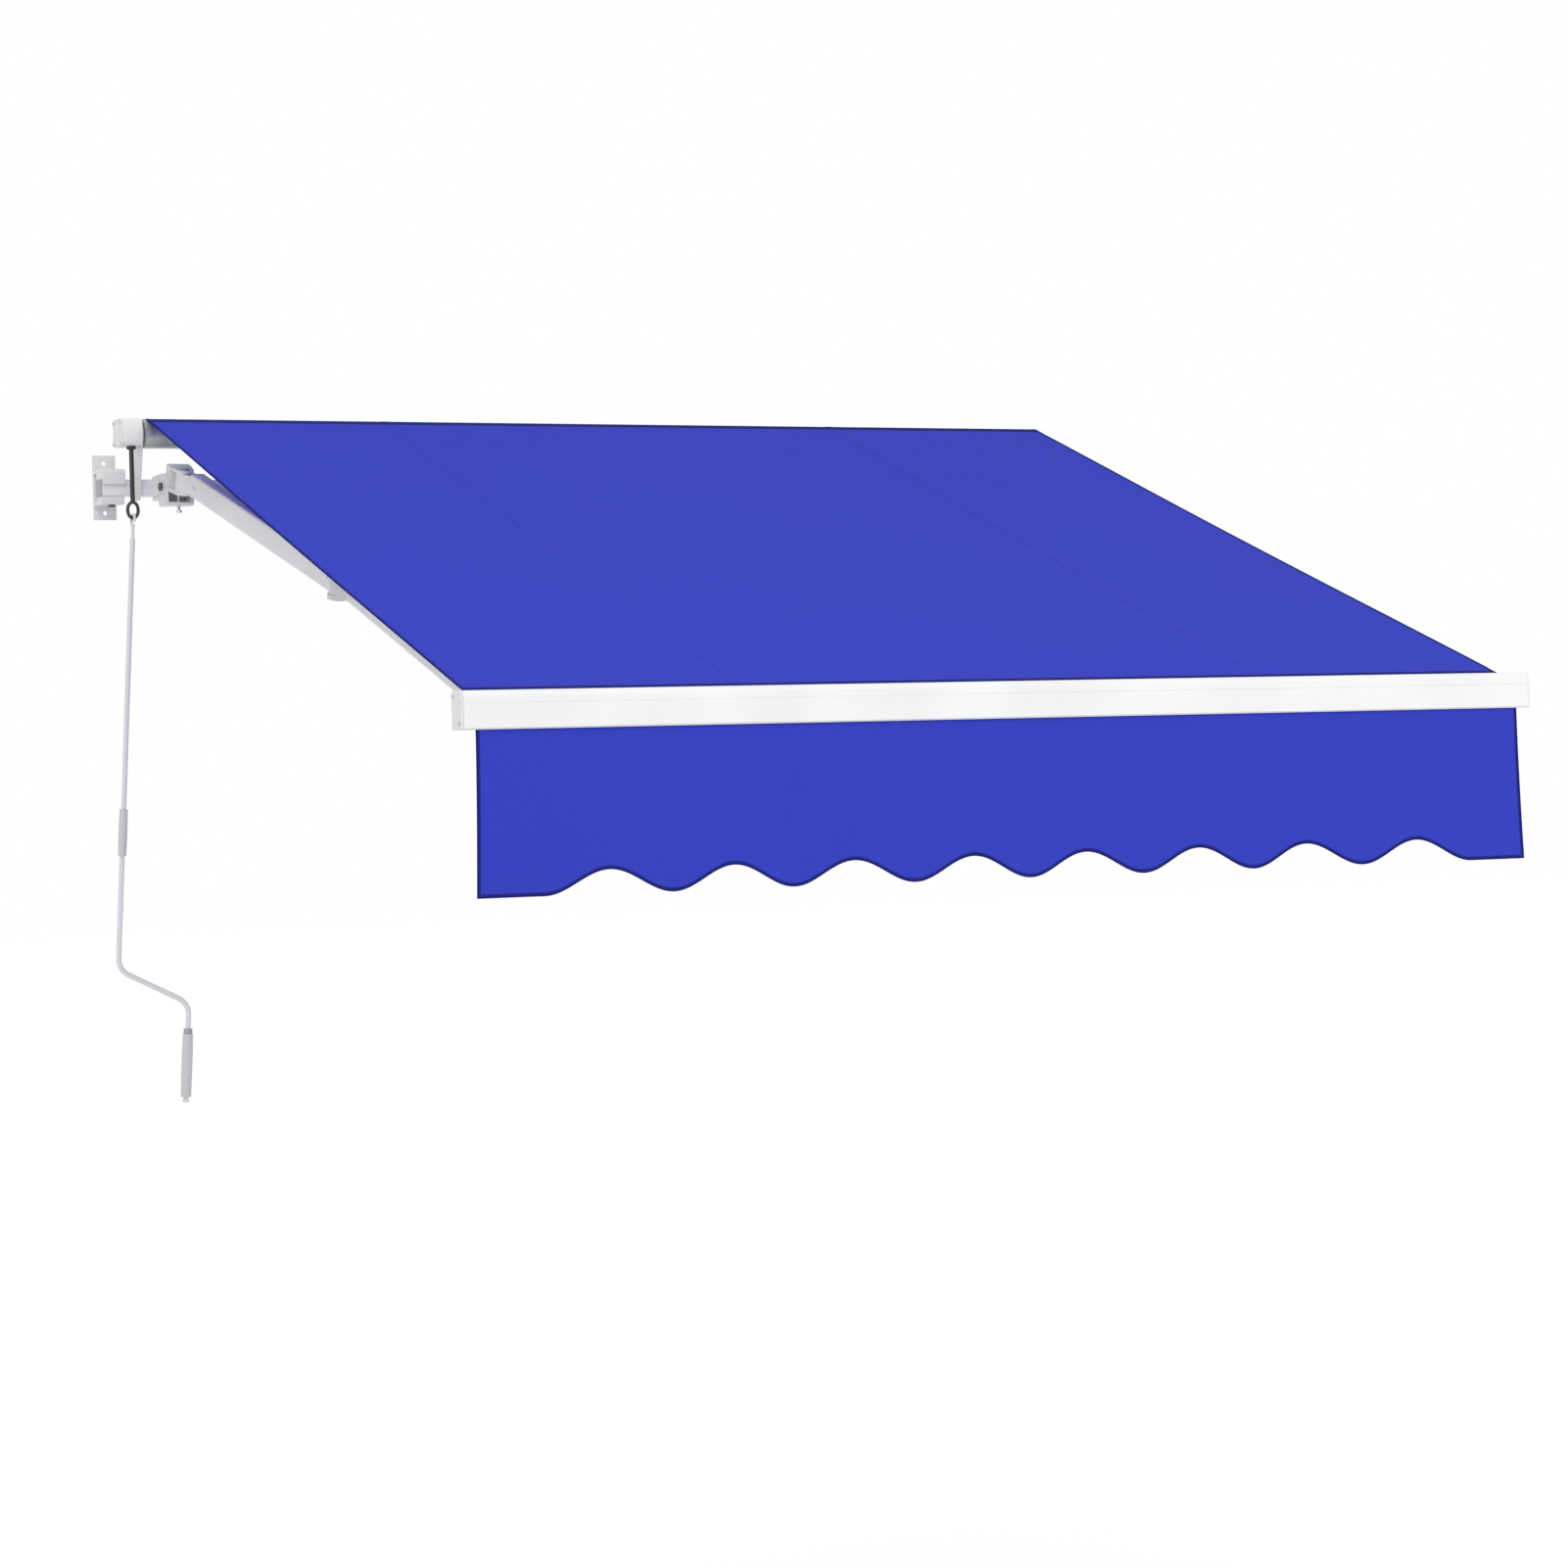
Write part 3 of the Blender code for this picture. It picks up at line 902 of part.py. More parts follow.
def canopy():
    """The cloth, stretched flat from the roller's groove to the front bar's groove."""
    start = CLOTH_START
    length = CLOTH_LENGTH - BEAD_RADIUS - 2 * SEAT
    cloth = box("canopy", (CLOTH_WIDTH, length, CLOTH_THICKNESS), (0, -length / 2, 0))
    put(as_part(cloth, BLUE_CLOTH), None, start, (CLOTH_SLOPE, 0, 0))


def scallop(x):
    """Height of the valance's lower edge at x: flat ends, and round notches between round lobes."""
    span = (SCALLOPS - 1) * SCALLOP_PITCH / 2
    distance = abs(x) - span
    if distance > SCALLOP_PITCH / 2:
        return 0.0
    wave = math.cos(math.pi * x / SCALLOP_PITCH) if SCALLOPS % 2 == 0 else math.sin(math.pi * x / SCALLOP_PITCH)
    return SCALLOP_DEPTH * (1 - wave * wave)


def valance(valance_z):
    top = valance_z - BEAD_RADIUS - SEAT
    bottom = BAR_BOTTOM - VALANCE_DROP
    steps = 16 * (SCALLOPS + 1)
    edge = [(-HALF_CLOTH + CLOTH_WIDTH * i / steps) for i in range(steps + 1)]
    lower = [(x, bottom + scallop(x)) for x in edge]
    cloth = outline("valance", [lower + [(HALF_CLOTH, top), (-HALF_CLOTH, top)]], CLOTH_THICKNESS)
    put(as_part(cloth, BLUE_CLOTH), None, FRONT_BEAD + Vector((0, -VALANCE_OUT, 0)), UPRIGHT)


def build():
    torsion_bar()
    carrier = roller()
    axis, eye_bottom = gearbox(carrier)
    crank(axis, eye_bottom)
    for side in (-1, 1):
        wall_bracket(side)
        roller_bracket(side)
        arm_bracket(side)
        arm(side)
        arm_clamp(side)
    valance(front_bar())
    canopy()


build()
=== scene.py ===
"""A folding-arm awning, dressed for a picture.

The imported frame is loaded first. The cloth and the small fittings are surfaces worked out with numpy,
every carried-over piece gets a finish, and a pale studio is set up round it all. The file is laid out
as an add-on: its sizes and colours are properties, and each group of pieces has its own operator.
"""
import json
import math

import bmesh
import bpy
import numpy as np
from bpy.props import FloatProperty, FloatVectorProperty, IntProperty, PointerProperty
from mathutils import Matrix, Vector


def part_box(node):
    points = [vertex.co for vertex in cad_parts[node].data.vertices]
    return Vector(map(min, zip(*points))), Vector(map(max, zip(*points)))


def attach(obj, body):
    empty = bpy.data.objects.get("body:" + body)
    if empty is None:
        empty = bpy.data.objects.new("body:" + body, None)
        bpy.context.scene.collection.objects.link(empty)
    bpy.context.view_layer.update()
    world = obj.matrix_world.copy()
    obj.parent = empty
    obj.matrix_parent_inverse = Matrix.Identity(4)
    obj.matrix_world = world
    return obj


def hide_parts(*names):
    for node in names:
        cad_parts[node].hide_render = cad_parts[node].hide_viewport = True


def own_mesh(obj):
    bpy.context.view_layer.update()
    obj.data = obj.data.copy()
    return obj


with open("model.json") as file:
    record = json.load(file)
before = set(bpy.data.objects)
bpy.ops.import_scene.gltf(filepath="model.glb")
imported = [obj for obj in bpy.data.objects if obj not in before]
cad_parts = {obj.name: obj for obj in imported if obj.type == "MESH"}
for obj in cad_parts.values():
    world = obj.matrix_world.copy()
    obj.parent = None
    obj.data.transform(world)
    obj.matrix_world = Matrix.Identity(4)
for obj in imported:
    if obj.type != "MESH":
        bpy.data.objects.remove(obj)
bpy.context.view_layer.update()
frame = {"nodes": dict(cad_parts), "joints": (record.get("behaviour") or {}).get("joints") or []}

bl_info = {
    "name": "Folding-arm awning",
    "version": (1, 0, 0),
    "blender": (4, 5, 0),
    "location": "3D View > Sidebar > Awning",
    "description": "Cloth, finishes, small fittings and a studio for a packed folding-arm awning",
    "category": "Object",
}

# Places and directions read from the frame
JOINTS = {joint["name"]: joint for joint in frame["joints"]}
NODES = frame["nodes"]
CLOTH_LOW, CLOTH_HIGH = (np.array(corner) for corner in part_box("canopy"))
VALANCE_LOW, VALANCE_HIGH = (np.array(corner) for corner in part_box("valance"))
ARM_AXIS = np.array(JOINTS["left_elbow"]["axis"])
ARM_TRAVEL = np.array([0.0, -ARM_AXIS[2], ARM_AXIS[1]])
SHOULDER, ELBOW, FRONT_PIVOT = (np.array(JOINTS["left_" + name]["pos_m"])
                                for name in ("shoulder_fold", "elbow", "front_pivot"))

# The canopy's slope, its thickness in the frame, and the directions down it and out of it
SLOPE = math.radians(19.1)
FRAME_CLOTH = 0.0012
ALONG = np.array([0.0, -math.cos(SLOPE), -math.sin(SLOPE)])
ABOVE = np.array([0.0, -math.sin(SLOPE), math.cos(SLOPE)])

# The arm tubes of the frame: how far each lies inside the line of its pivots, and their widths
TUBE_INSET = 0.020
UPPER_ARM_WIDTH = 0.035
FOREARM_WIDTH = 0.028

# Where the canopy thins to slip into the front bar's groove: distance from its end, and run of the step
THIN_FROM = 0.065
THIN_RUN = 0.01

# Steps in the cloth's thickness at a tape or seam of the canopy, a scalloped tape and a hanging side tape
STEP = 0.0006
CUT_EDGE_STEP = 0.0015
SIDE_STEP = 0.005

# Stitch lines of a seam, as a share of its width to each side of its middle
SEAM_STITCH = 0.35

# Small swells of the canopy: heights, the ripple's length, and its drift down the cloth in radians
RIPPLE = 0.0009
RIPPLE_LENGTH = 0.43
RIPPLE_DRIFT = 1.1
PULL = 0.0012

# Waves of the valance: share of the wave's height, length and start in radians, and how they grow downwards
WAVES = ((0.6, 0.57, 0.6), (0.4, 0.93, -1.0), (0.25, 0.285, 0.0))
HANG_POWER = 1.6

# Thickness that a tape or seam adds, as a share of the cloth's own
CANOPY_EXTRA = 1.4
VALANCE_EXTRA = 0.9

# Tones of tape and thread, as shares of the cloth's colour; the tape's tone also paints the shade along the
# roller and the front bar
TAPE_AND_SHADE_TONE = 0.34
THREAD_TONE = 0.80

# A line of stitches: its place across a tape, half its width, and how much of a stitch's length shows
STITCH_INSET = 0.8
STITCH_HALF_WIDTH = 0.0005
STITCH_SHARE = 0.68

# Fittings: gap under a seated piece, radius and height of each head, and where the heads sit
SEAT = 0.0001
HEAD_SIDES = 24
COVER_SCREW = (0.0038, 0.0026)
COVER_SCREW_INSET = 0.008
CAP_SCREW = (0.0036, 0.0022)
CAP_SCREW_UPPER = (0.012, 0.010)
CAP_SCREW_LOWER = (0.014, 0.012)
RIVET = (0.0042, 0.0014)
RIVET_PLACES = (0.058, 0.074)
BUSH_INNER = 0.0068
BUSH_OUTER = 0.0112
BUSH_LENGTH = 0.0065
BUSH_CHAMFER = 0.0008

# Grips: points round and along, flutes and their depth, and shares of the length for an end's rim and ring
GRIP_SIDES = 72
GRIP_LEVELS = 41
FLUTES = 12
FLUTE_DEPTH = 0.035
END_RIM = 0.05
END_RING = 0.09

# The studio, with the name, place, size and power of each lamp
FLOOR_REACH = 60.0
FLOOR_GREY = (0.80, 0.80, 0.80)
FLOOR_GLOW = 0.42
WHITE = (1.0, 1.0, 1.0)
LAMPS = (("key_light", (-5.0, -8.0, 5.5), 5.0, 260.0), ("fill_light", (6.0, -9.0, 1.5), 6.0, 150.0))
LAMP_TARGET = np.array([0.0, -1.1, -0.5])
CAMERA_PLACE = (-4.100, -9.822, -0.763)
CAMERA_YAW = math.radians(25.09)
CAMERA_PITCH = math.radians(0.08)
CAMERA_ROLL = math.radians(-1.64)
SENSOR_WIDTH = 36.0
FAR = 300.0


# Meshes

def grid_faces(rows, columns, close_rows=False, close_columns=False):
    """Quads of a grid of points, row after row. A closed direction joins its last line to its first."""
    a, b = np.meshgrid(np.arange(rows if close_rows else rows - 1),
                       np.arange(columns if close_columns else columns - 1), indexing="ij")
    next_a = (a + 1) % rows
    next_b = (b + 1) % columns
    corners = [a * columns + b, a * columns + next_b, next_a * columns + next_b, next_a * columns + b]
    return np.stack(corners, -1).reshape(-1, 4).tolist()


def gather(parts):
    """One set of points and faces out of several."""
    points, faces, start = [], [], 0
    for part_points, part_faces in parts:
        points.append(part_points)
        faces += [[start + corner for corner in face] for face in part_faces]
        start += len(part_points)
    return np.concatenate(points), faces


def piece(name, points, faces, material, body, slot, uv=None, smooth=40.0):
    """A finished object at the origin, with outward faces, which rides on a body of the frame."""
    mesh = bpy.data.meshes.new(name)
    mesh.from_pydata(points.tolist(), [], faces)
    if uv is not None:
        layer = mesh.uv_layers.new(name="cloth")
        corners = np.empty(len(mesh.loops), dtype=np.int32)
        mesh.loops.foreach_get("vertex_index", corners)
        layer.data.foreach_set("uv", uv.reshape(-1, 2)[corners].ravel())
    work = bmesh.new()
    work.from_mesh(mesh)
    bmesh.ops.recalc_face_normals(work, faces=work.faces)
    work.to_mesh(mesh)
    work.free()
    mesh.shade_smooth()
    mesh.set_sharp_from_angle(angle=math.radians(smooth))
    mesh.materials.append(material)
    obj = bpy.data.objects.new(name, mesh)
    bpy.context.scene.collection.objects.link(obj)
    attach(obj, body)
    return obj


def cloth_solid(middle, above, below, normal):
    """A closed sheet, from its middle surface moved out along normal by above and back by below."""
    outer = middle + normal * above[..., None]
    inner = middle - normal * below[..., None]
    both = np.concatenate([outer, inner[:, ::-1]], axis=1)
    rows, columns = both.shape[:2]
    i = np.arange(middle.shape[1] - 1)
    end = np.stack([i, i + 1, columns - 2 - i, columns - 1 - i], -1)
    faces = grid_faces(rows, columns, close_columns=True)
    faces += end[:, ::-1].tolist() + (end + (rows - 1) * columns).tolist()
    return both.reshape(-1, 3), faces


def cloth_map(x, distance):
    """The cloth's map in metres for both faces: x across it, and a distance down it."""
    flat = np.stack([x, distance], -1)
    return np.concatenate([flat, flat[:, ::-1]], axis=1)


def even_angles(count):
    """A whole turn in even steps, from nil."""
    return np.arange(count) * 2 * math.pi / count


def around(centre, axis, first, reach, height):
    """Points round an axis: centre, plus a height along it, plus a reach across it turned by even angles.

    Each height has its own row of reaches, one for each angle, and the turn starts at first.
    """
    second = np.cross(axis, first)
    angle = even_angles(reach.shape[1])
    points = (np.asarray(centre, float) + height[:, None, None] * axis
              + (reach * np.cos(angle))[..., None] * first + (reach * np.sin(angle))[..., None] * second)
    return points.reshape(-1, 3)


def turned(profile, sides, centre, axis, spread=1.0):
    """A profile of (radius, height) pairs carried round an axis of length 1, with a flat face at each end.

    spread multiplies the radius: one number for all, or one for each pair and angle, as for a hexagon.
    """
    axis = np.asarray(axis, float)
    first = np.array([0.0, 1.0, 0.0] if abs(axis[0]) > 0.9 else [1.0, 0.0, 0.0])
    first -= (first @ axis) * axis
    first /= np.linalg.norm(first)
    radius, height = np.array(profile, float).T
    reach = radius[:, None] * np.ones(sides) * spread
    faces = grid_faces(len(radius), sides, close_columns=True)
    faces.append(list(range(sides))[::-1])
    faces.append(list(range((len(radius) - 1) * sides, len(radius) * sides)))
    return around(centre, axis, first, reach, height), faces


def bush(centre, axis):
    """A square section with chamfered corners carried round an axis, from a face at centre."""
    inner, outer, length, chamfer = BUSH_INNER, BUSH_OUTER, BUSH_LENGTH, BUSH_CHAMFER
    section = [(inner, chamfer), (inner + chamfer, 0.0), (outer - chamfer, 0.0), (outer, chamfer),
               (outer, length - chamfer), (outer - chamfer, length), (inner + chamfer, length),
               (inner, length - chamfer)]
    sides = 36
    points = turned(section, sides, centre, axis)[0]
    return points, grid_faces(len(section), sides, close_rows=True, close_columns=True)


def hexagon(angle):
    """Radius of a regular hexagon at an angle, as a share of its corner radius.

    It is the cosine of 30 degrees over the cosine of the angle from the nearest side's middle.
    """
    return math.cos(math.pi / 6) / np.cos(np.mod(angle, math.pi / 3) - math.pi / 6)


def socket_screw(centre, axis, radius, height):
    """A head seated on a face at centre: an upright side, a rounded rim and a hexagon socket.

    The rim is a quarter ellipse, in from the full radius to 0.78 of it and up from 0.55 of the height.
    """
    angle = np.linspace(0, math.pi / 2, 5)
    rim = [(radius * (0.78 + 0.22 * math.cos(a)), height * (0.55 + 0.45 * math.sin(a))) for a in angle]
    socket = [(0.5 * radius, height), (0.46 * radius, 0.25 * height)]
    head = [(radius, 0.0)] + rim + socket
    spread = np.ones((len(head), HEAD_SIDES))
    spread[-len(socket):] = hexagon(even_angles(HEAD_SIDES))
    return turned(head, HEAD_SIDES, centre, axis, spread)


def rivet(centre, axis, radius, height):
    """A shallow dome, most of a quarter ellipse, with the dimple of its drawn pin in its top."""
    angle = np.linspace(0, 0.82 * math.pi / 2, 7)
    dome = [(radius * math.cos(a), height * math.sin(a)) for a in angle]
    dimple = (dome[-1][0] * 0.9, dome[-1][1] - 0.3 * height)
    return turned(dome + [dimple], HEAD_SIDES, centre, axis)


# Materials

def feed(tree, socket, value):
    """Links another node's output to a socket, or sets the socket to a number or a colour."""
    if isinstance(value, bpy.types.NodeSocket):
        tree.links.new(value, socket)
    elif socket.type == "RGBA":
        socket.default_value = (*value, 1.0)
    else:
        socket.default_value = value


def add_node(tree, kind, *values, **choices):
    """A new shader node with its choices made, whose first sockets are fed with the values in order."""
    made = tree.nodes.new("ShaderNode" + kind)
    for choice, value in choices.items():
        setattr(made, choice, value)
    for socket, value in zip(made.inputs, values):
        feed(tree, socket, value)
    return made


class Finish:
    """A material under construction: its shader, and short ways to add the usual nodes."""

    def __init__(self, name, colour, roughness, metallic=0.0, **sockets):
        self.material = bpy.data.materials.new(name)
        self.material.use_nodes = True
        self.tree = self.material.node_tree
        self.shader = self.tree.nodes["Principled BSDF"]
        self.shader.inputs["Base Color"].default_value = (*colour, 1.0)
        self.shader.inputs["Roughness"].default_value = roughness
        self.shader.inputs["Metallic"].default_value = metallic
        for socket, value in sockets.items():
            self.shader.inputs[socket.replace("_", " ")].default_value = value

    def place(self, scale=(1, 1, 1), uv=False):
        """The place on the piece, or on the cloth's map, multiplied by scale along each axis."""
        source = add_node(self.tree, "TexCoord").outputs["UV" if uv else "Object"]
        mapping = add_node(self.tree, "Mapping")
        feed(self.tree, mapping.inputs["Vector"], source)
        mapping.inputs["Scale"].default_value = scale
        return mapping.outputs["Vector"]

    def noise(self, place, scale, detail=3.0):
        """A soft pattern between 0 and 1, with scale waves to the metre."""
        noise = add_node(self.tree, "TexNoise")
        feed(self.tree, noise.inputs["Vector"], place)
        noise.inputs["Scale"].default_value = scale
        noise.inputs["Detail"].default_value = detail
        noise.inputs["Roughness"].default_value = 0.55
        return noise.outputs["Fac"]

    def cells(self, place, scale):
        """Flat cells, with scale of them to the metre, each with a colour of its own."""
        cells = add_node(self.tree, "TexVoronoi")
        feed(self.tree, cells.inputs["Vector"], place)
        cells.inputs["Scale"].default_value = scale
        return cells

    def reckon(self, operation, *values):
        """One step of arithmetic on patterns and numbers."""
        return add_node(self.tree, "Math", *values, operation=operation).outputs[0]

    def span(self, value, source, target):
        """A value whose range, source, is stretched to another one, target, and held inside it."""
        ranged = add_node(self.tree, "MapRange")
        feed(self.tree, ranged.inputs["Value"], value)
        for socket, number in zip(("From Min", "From Max", "To Min", "To Max"), (*source, *target)):
            ranged.inputs[socket].default_value = number
        return ranged.outputs["Result"]

    def blend(self, share, first, second):
        """A colour from first, where share is 0, to second, where it is 1."""
        mix = add_node(self.tree, "Mix", data_type="RGBA")
        for socket, value in (("Factor", share), ("A", first), ("B", second)):
            feed(self.tree, mix.inputs[socket], value)
        return mix.outputs["Result"]

    def bump(self, height, distance, strength=1.0):
        """Shades the surface as if a height of 1 stood distance metres out of it."""
        bump = add_node(self.tree, "Bump")
        feed(self.tree, bump.inputs["Height"], height)
        bump.inputs["Distance"].default_value = distance
        bump.inputs["Strength"].default_value = strength
        self.tree.links.new(bump.outputs["Normal"], self.shader.inputs["Normal"])

    def paint(self, colour, roughness):
        """Gives the shader a pattern for its colour and one for its roughness."""
        self.tree.links.new(colour, self.shader.inputs["Base Color"])
        self.tree.links.new(roughness, self.shader.inputs["Roughness"])


def tone(colour, factor):
    """A colour with each channel multiplied by a factor, and held at 1."""
    return tuple(min(1.0, channel * factor) for channel in colour)


def powder_coat(name, colour, grain, depth, drawn=None):
    """Baked powder on metal: a fine orange peel, a slow drift of tone, small rubbed spots.

    drawn stretches a second pattern along an axis, for the faint die lines of an extrusion.
    """
    coat = Finish(name, colour, 0.38, Coat_Weight=0.12, Coat_Roughness=0.25)
    here = coat.place()
    drift = coat.span(coat.noise(here, 5.0, detail=4.0), (0.35, 0.65), (0.0, 1.0))
    spots = coat.span(coat.noise(here, 160.0, detail=2.0), (0.70, 0.78), (0.0, 0.35))
    base = coat.blend(drift, tone(colour, 0.96), tone(colour, 1.02))
    rubbed = coat.blend(spots, base, tone(colour, 0.80))
    coat.paint(rubbed, coat.span(coat.noise(here, 60.0), (0.3, 0.7), (0.30, 0.46)))
    height = coat.noise(here, grain, detail=2.0)
    if drawn is not None:
        die_lines = coat.noise(coat.place(scale=drawn), 1.0, detail=2.0)
        height = coat.reckon("ADD", height, coat.reckon("MULTIPLY", die_lines, 0.6))
    coat.bump(height, depth)
    return coat.material


def bare_metal(name, colour, roughness, grain=900.0):
    """Plated or turned metal: a fine grain, and cloudy patches where the surface dulled."""
    metal = Finish(name, colour, roughness, metallic=1.0)
    here = metal.place()
    clouds = metal.noise(here, 90.0, detail=4.0)
    dulled = metal.blend(metal.span(clouds, (0.35, 0.65), (0.0, 1.0)), tone(colour, 0.86), tone(colour, 1.08))
    metal.paint(dulled, metal.span(clouds, (0.3, 0.7), (roughness - 0.08, roughness + 0.12)))
    metal.bump(metal.noise(here, grain, detail=2.0), 0.00003)
    return metal.material


def galvanised(name, colour):
    """Zinc-dipped steel: crystal spangle in many tones, with a satin surface."""
    zinc = Finish(name, colour, 0.42, metallic=0.55)
    crystals = zinc.cells(zinc.place(scale=(0.6, 1, 1)), 130.0)
    shade = add_node(zinc.tree, "SeparateColor", crystals.outputs["Color"]).outputs[0]
    spangle = zinc.blend(shade, tone(colour, 0.88), tone(colour, 1.10))
    zinc.paint(spangle, zinc.span(shade, (0.0, 1.0), (0.34, 0.52)))
    zinc.bump(crystals.outputs["Distance"], 0.00008, strength=0.5)
    return zinc.material


def moulded_plastic(name, colour, roughness=0.48):
    """Injection-moulded plastic: a fine spark-eroded grain and a slight change of gloss."""
    plastic = Finish(name, colour, roughness)
    here = plastic.place()
    slow = plastic.noise(here, 30.0)
    plastic.paint(plastic.blend(slow, tone(colour, 0.90), tone(colour, 1.08)),
                  plastic.span(slow, (0.3, 0.7), (roughness - 0.07, roughness + 0.09)))
    plastic.bump(plastic.noise(here, 1400.0, detail=2.0), 0.00006)
    return plastic.material


def weave(cloth, along, down, pitch):
    """Height of a plain weave, from a sine across each set of threads.

    A thread's height is the size of its sine to the power 0.7. The warp is on top where the product of the
    two sines is positive, and the weft elsewhere.
    """
    turns = math.pi / pitch
    warp, weft = (cloth.reckon("SINE", cloth.reckon("MULTIPLY", place, turns)) for place in (along, down))
    over = cloth.reckon("GREATER_THAN", cloth.reckon("MULTIPLY", warp, weft), 0.0)
    warp_high, weft_high = (cloth.reckon("POWER", cloth.reckon("ABSOLUTE", thread), 0.7)
                            for thread in (warp, weft))
    rise = cloth.reckon("MULTIPLY", over, cloth.reckon("SUBTRACT", warp_high, weft_high))
    return cloth.reckon("ADD", rise, weft_high)


def awning_cloth(name, sizes, half_width, length, seam_lines, scalloped=False):
    """Plain-woven canvas read from a cloth map in metres, with a darker tape bound round its edges.

    Across the map runs the distance from the cloth's middle, and down it the distance from one edge. The
    tone drifts slowly, and thin dashes are stitches. The scalloped cloth's map starts at its cut edge, so
    that the tape follows the scallops. On the canopy the dark band along the roller and the front bar is
    wider than a tape: that width is painted shade, where the cloth meets the roller and dips into the bar's
    groove.
    """
    colour = tuple(sizes.colour)
    tape = sizes.tape_width
    cloth = Finish(name, colour, 0.86, Sheen_Weight=0.015, Sheen_Roughness=0.5, Specular_IOR_Level=0.02)
    here = cloth.place(uv=True)
    along, down = add_node(cloth.tree, "SeparateXYZ", here).outputs[:2]
    side = cloth.reckon("ABSOLUTE", along)
    lift = weave(cloth, along, down, sizes.thread_pitch)
    slub = cloth.noise(cloth.place(scale=(600, 18, 1), uv=True), 1.0, detail=2.0)
    drift = cloth.noise(here, 3.0)
    threads = cloth.blend(cloth.span(lift, (0.2, 1.0), (0.0, 1.0)), tone(colour, 0.90), tone(colour, 1.03))
    slubbed = cloth.blend(cloth.span(slub, (0.35, 0.7), (0.0, 0.25)), threads, tone(colour, 1.10))
    drifted = cloth.blend(cloth.span(drift, (0.35, 0.65), (0.0, 0.30)), slubbed, tone(colour, 0.94))

    # The dark band: a tape at each side and, on the valance, at the cut edge; on the canopy a wider band
    # along the roller and the front bar, which is painted shade
    tape_and_painted_shade = cloth.reckon("GREATER_THAN", side, half_width - tape)
    head = cloth.reckon("LESS_THAN", down, tape if scalloped else sizes.roller_tape_and_shade)
    tape_and_painted_shade = cloth.reckon("MAXIMUM", tape_and_painted_shade, head)
    if not scalloped:
        front = cloth.reckon("GREATER_THAN", down, length - sizes.front_tape_and_shade)
        tape_and_painted_shade = cloth.reckon("MAXIMUM", tape_and_painted_shade, front)
    # Colours the tape, and the painted shade along the roller and the front bar, in the tape's tone
    bound = cloth.blend(tape_and_painted_shade, drifted, tone(colour, TAPE_AND_SHADE_TONE))

    def stitched(place, line, run):
        """1 on the stitches of a line at a place, which are dashes along run."""
        off_line = cloth.reckon("ABSOLUTE", cloth.reckon("SUBTRACT", place, line))
        step = cloth.reckon("FRACT", cloth.reckon("DIVIDE", run, sizes.stitch))
        return cloth.reckon("MULTIPLY", cloth.reckon("LESS_THAN", off_line, STITCH_HALF_WIDTH),
                            cloth.reckon("LESS_THAN", step, STITCH_SHARE))

    lines = [stitched(side, line, down) for line in (half_width - STITCH_INSET * tape, *seam_lines)]
    lines.append(stitched(down, STITCH_INSET * tape, along))
    stitches = lines[0]
    for line in lines[1:]:
        stitches = cloth.reckon("MAXIMUM", stitches, line)
    sewn = cloth.blend(stitches, bound, tone(colour, THREAD_TONE))
    cloth.paint(sewn, cloth.span(lift, (0.0, 1.0), (0.92, 0.80)))
    cloth.bump(cloth.reckon("ADD", lift, cloth.reckon("MULTIPLY", stitches, 2.0)), 0.00012, strength=0.7)
    return cloth.material


# Properties

class ClothSettings(bpy.types.PropertyGroup):
    """The canopy and the valance."""

    colour: FloatVectorProperty(name="Cloth colour", description="Dyed colour of the canvas", subtype="COLOR",
                                size=3, min=0.0, max=1.0, default=(0.0437, 0.0595, 0.539))
    thickness: FloatProperty(name="Cloth thickness", description="Thickness of one layer of canvas",
                             unit="LENGTH", min=0.0002, max=0.0015, default=0.0007)
    sag: FloatProperty(name="Sag", description="How far the canopy hangs below a straight line at its middle",
                       unit="LENGTH", min=0.0, max=0.03, default=0.006)
    tape_width: FloatProperty(name="Tape width", description="Width of the tape bound round the edges",
                              unit="LENGTH", min=0.003, max=0.04, default=0.008)
    # Along the roller the dark band is wider than a tape: the extra width is painted shade where the cloth
    # meets the roller
    roller_tape_and_shade: FloatProperty(name="Roller tape", description="Width of the tape along the roller",
                            unit="LENGTH", min=0.003, max=0.06, default=0.030)
    # Along the front bar the dark band is wider than a tape: the extra width is painted shade where the cloth
    # dips into the groove
    front_tape_and_shade: FloatProperty(name="Front tape", description="Width of the tape along the front bar's groove",
                              unit="LENGTH", min=0.003, max=0.06, default=0.042)
    seam_width: FloatProperty(name="Seam width", description="Overlap where two widths of cloth are joined",
                              unit="LENGTH", min=0.005, max=0.04, default=0.018)
    seam_place: FloatProperty(name="Seam place", description="Distance of each seam from the middle",
                              unit="LENGTH", min=0.1, max=1.1, default=0.6)
    thread_pitch: FloatProperty(name="Thread pitch", description="Spacing of the canvas threads",
                                unit="LENGTH", min=0.0003, max=0.002, default=0.0008)
    stitch: FloatProperty(name="Stitch length", description="Length of one stitch with its gap",
                          unit="LENGTH", min=0.002, max=0.01, default=0.0045)
    scallops: IntProperty(name="Scallops", description="Notches in the valance's lower edge",
                          min=2, max=20, default=8)
    scallop_pitch: FloatProperty(name="Scallop pitch", description="Distance between two notches",
                                 unit="LENGTH", min=0.1, max=0.5, default=0.265)
    scallop_depth: FloatProperty(name="Scallop depth", description="Height of a notch above the lobes",
                                 unit="LENGTH", min=0.01, max=0.1, default=0.048)
    wave: FloatProperty(name="Valance wave", description="How far the hanging edge waves in and out",
                        unit="LENGTH", min=0.0, max=0.03, default=0.006)
    swing: FloatProperty(name="Corner swing", unit="LENGTH", min=0.0, max=0.05, default=0.02,
                         description="How far the right corner hangs out, and the left one in")


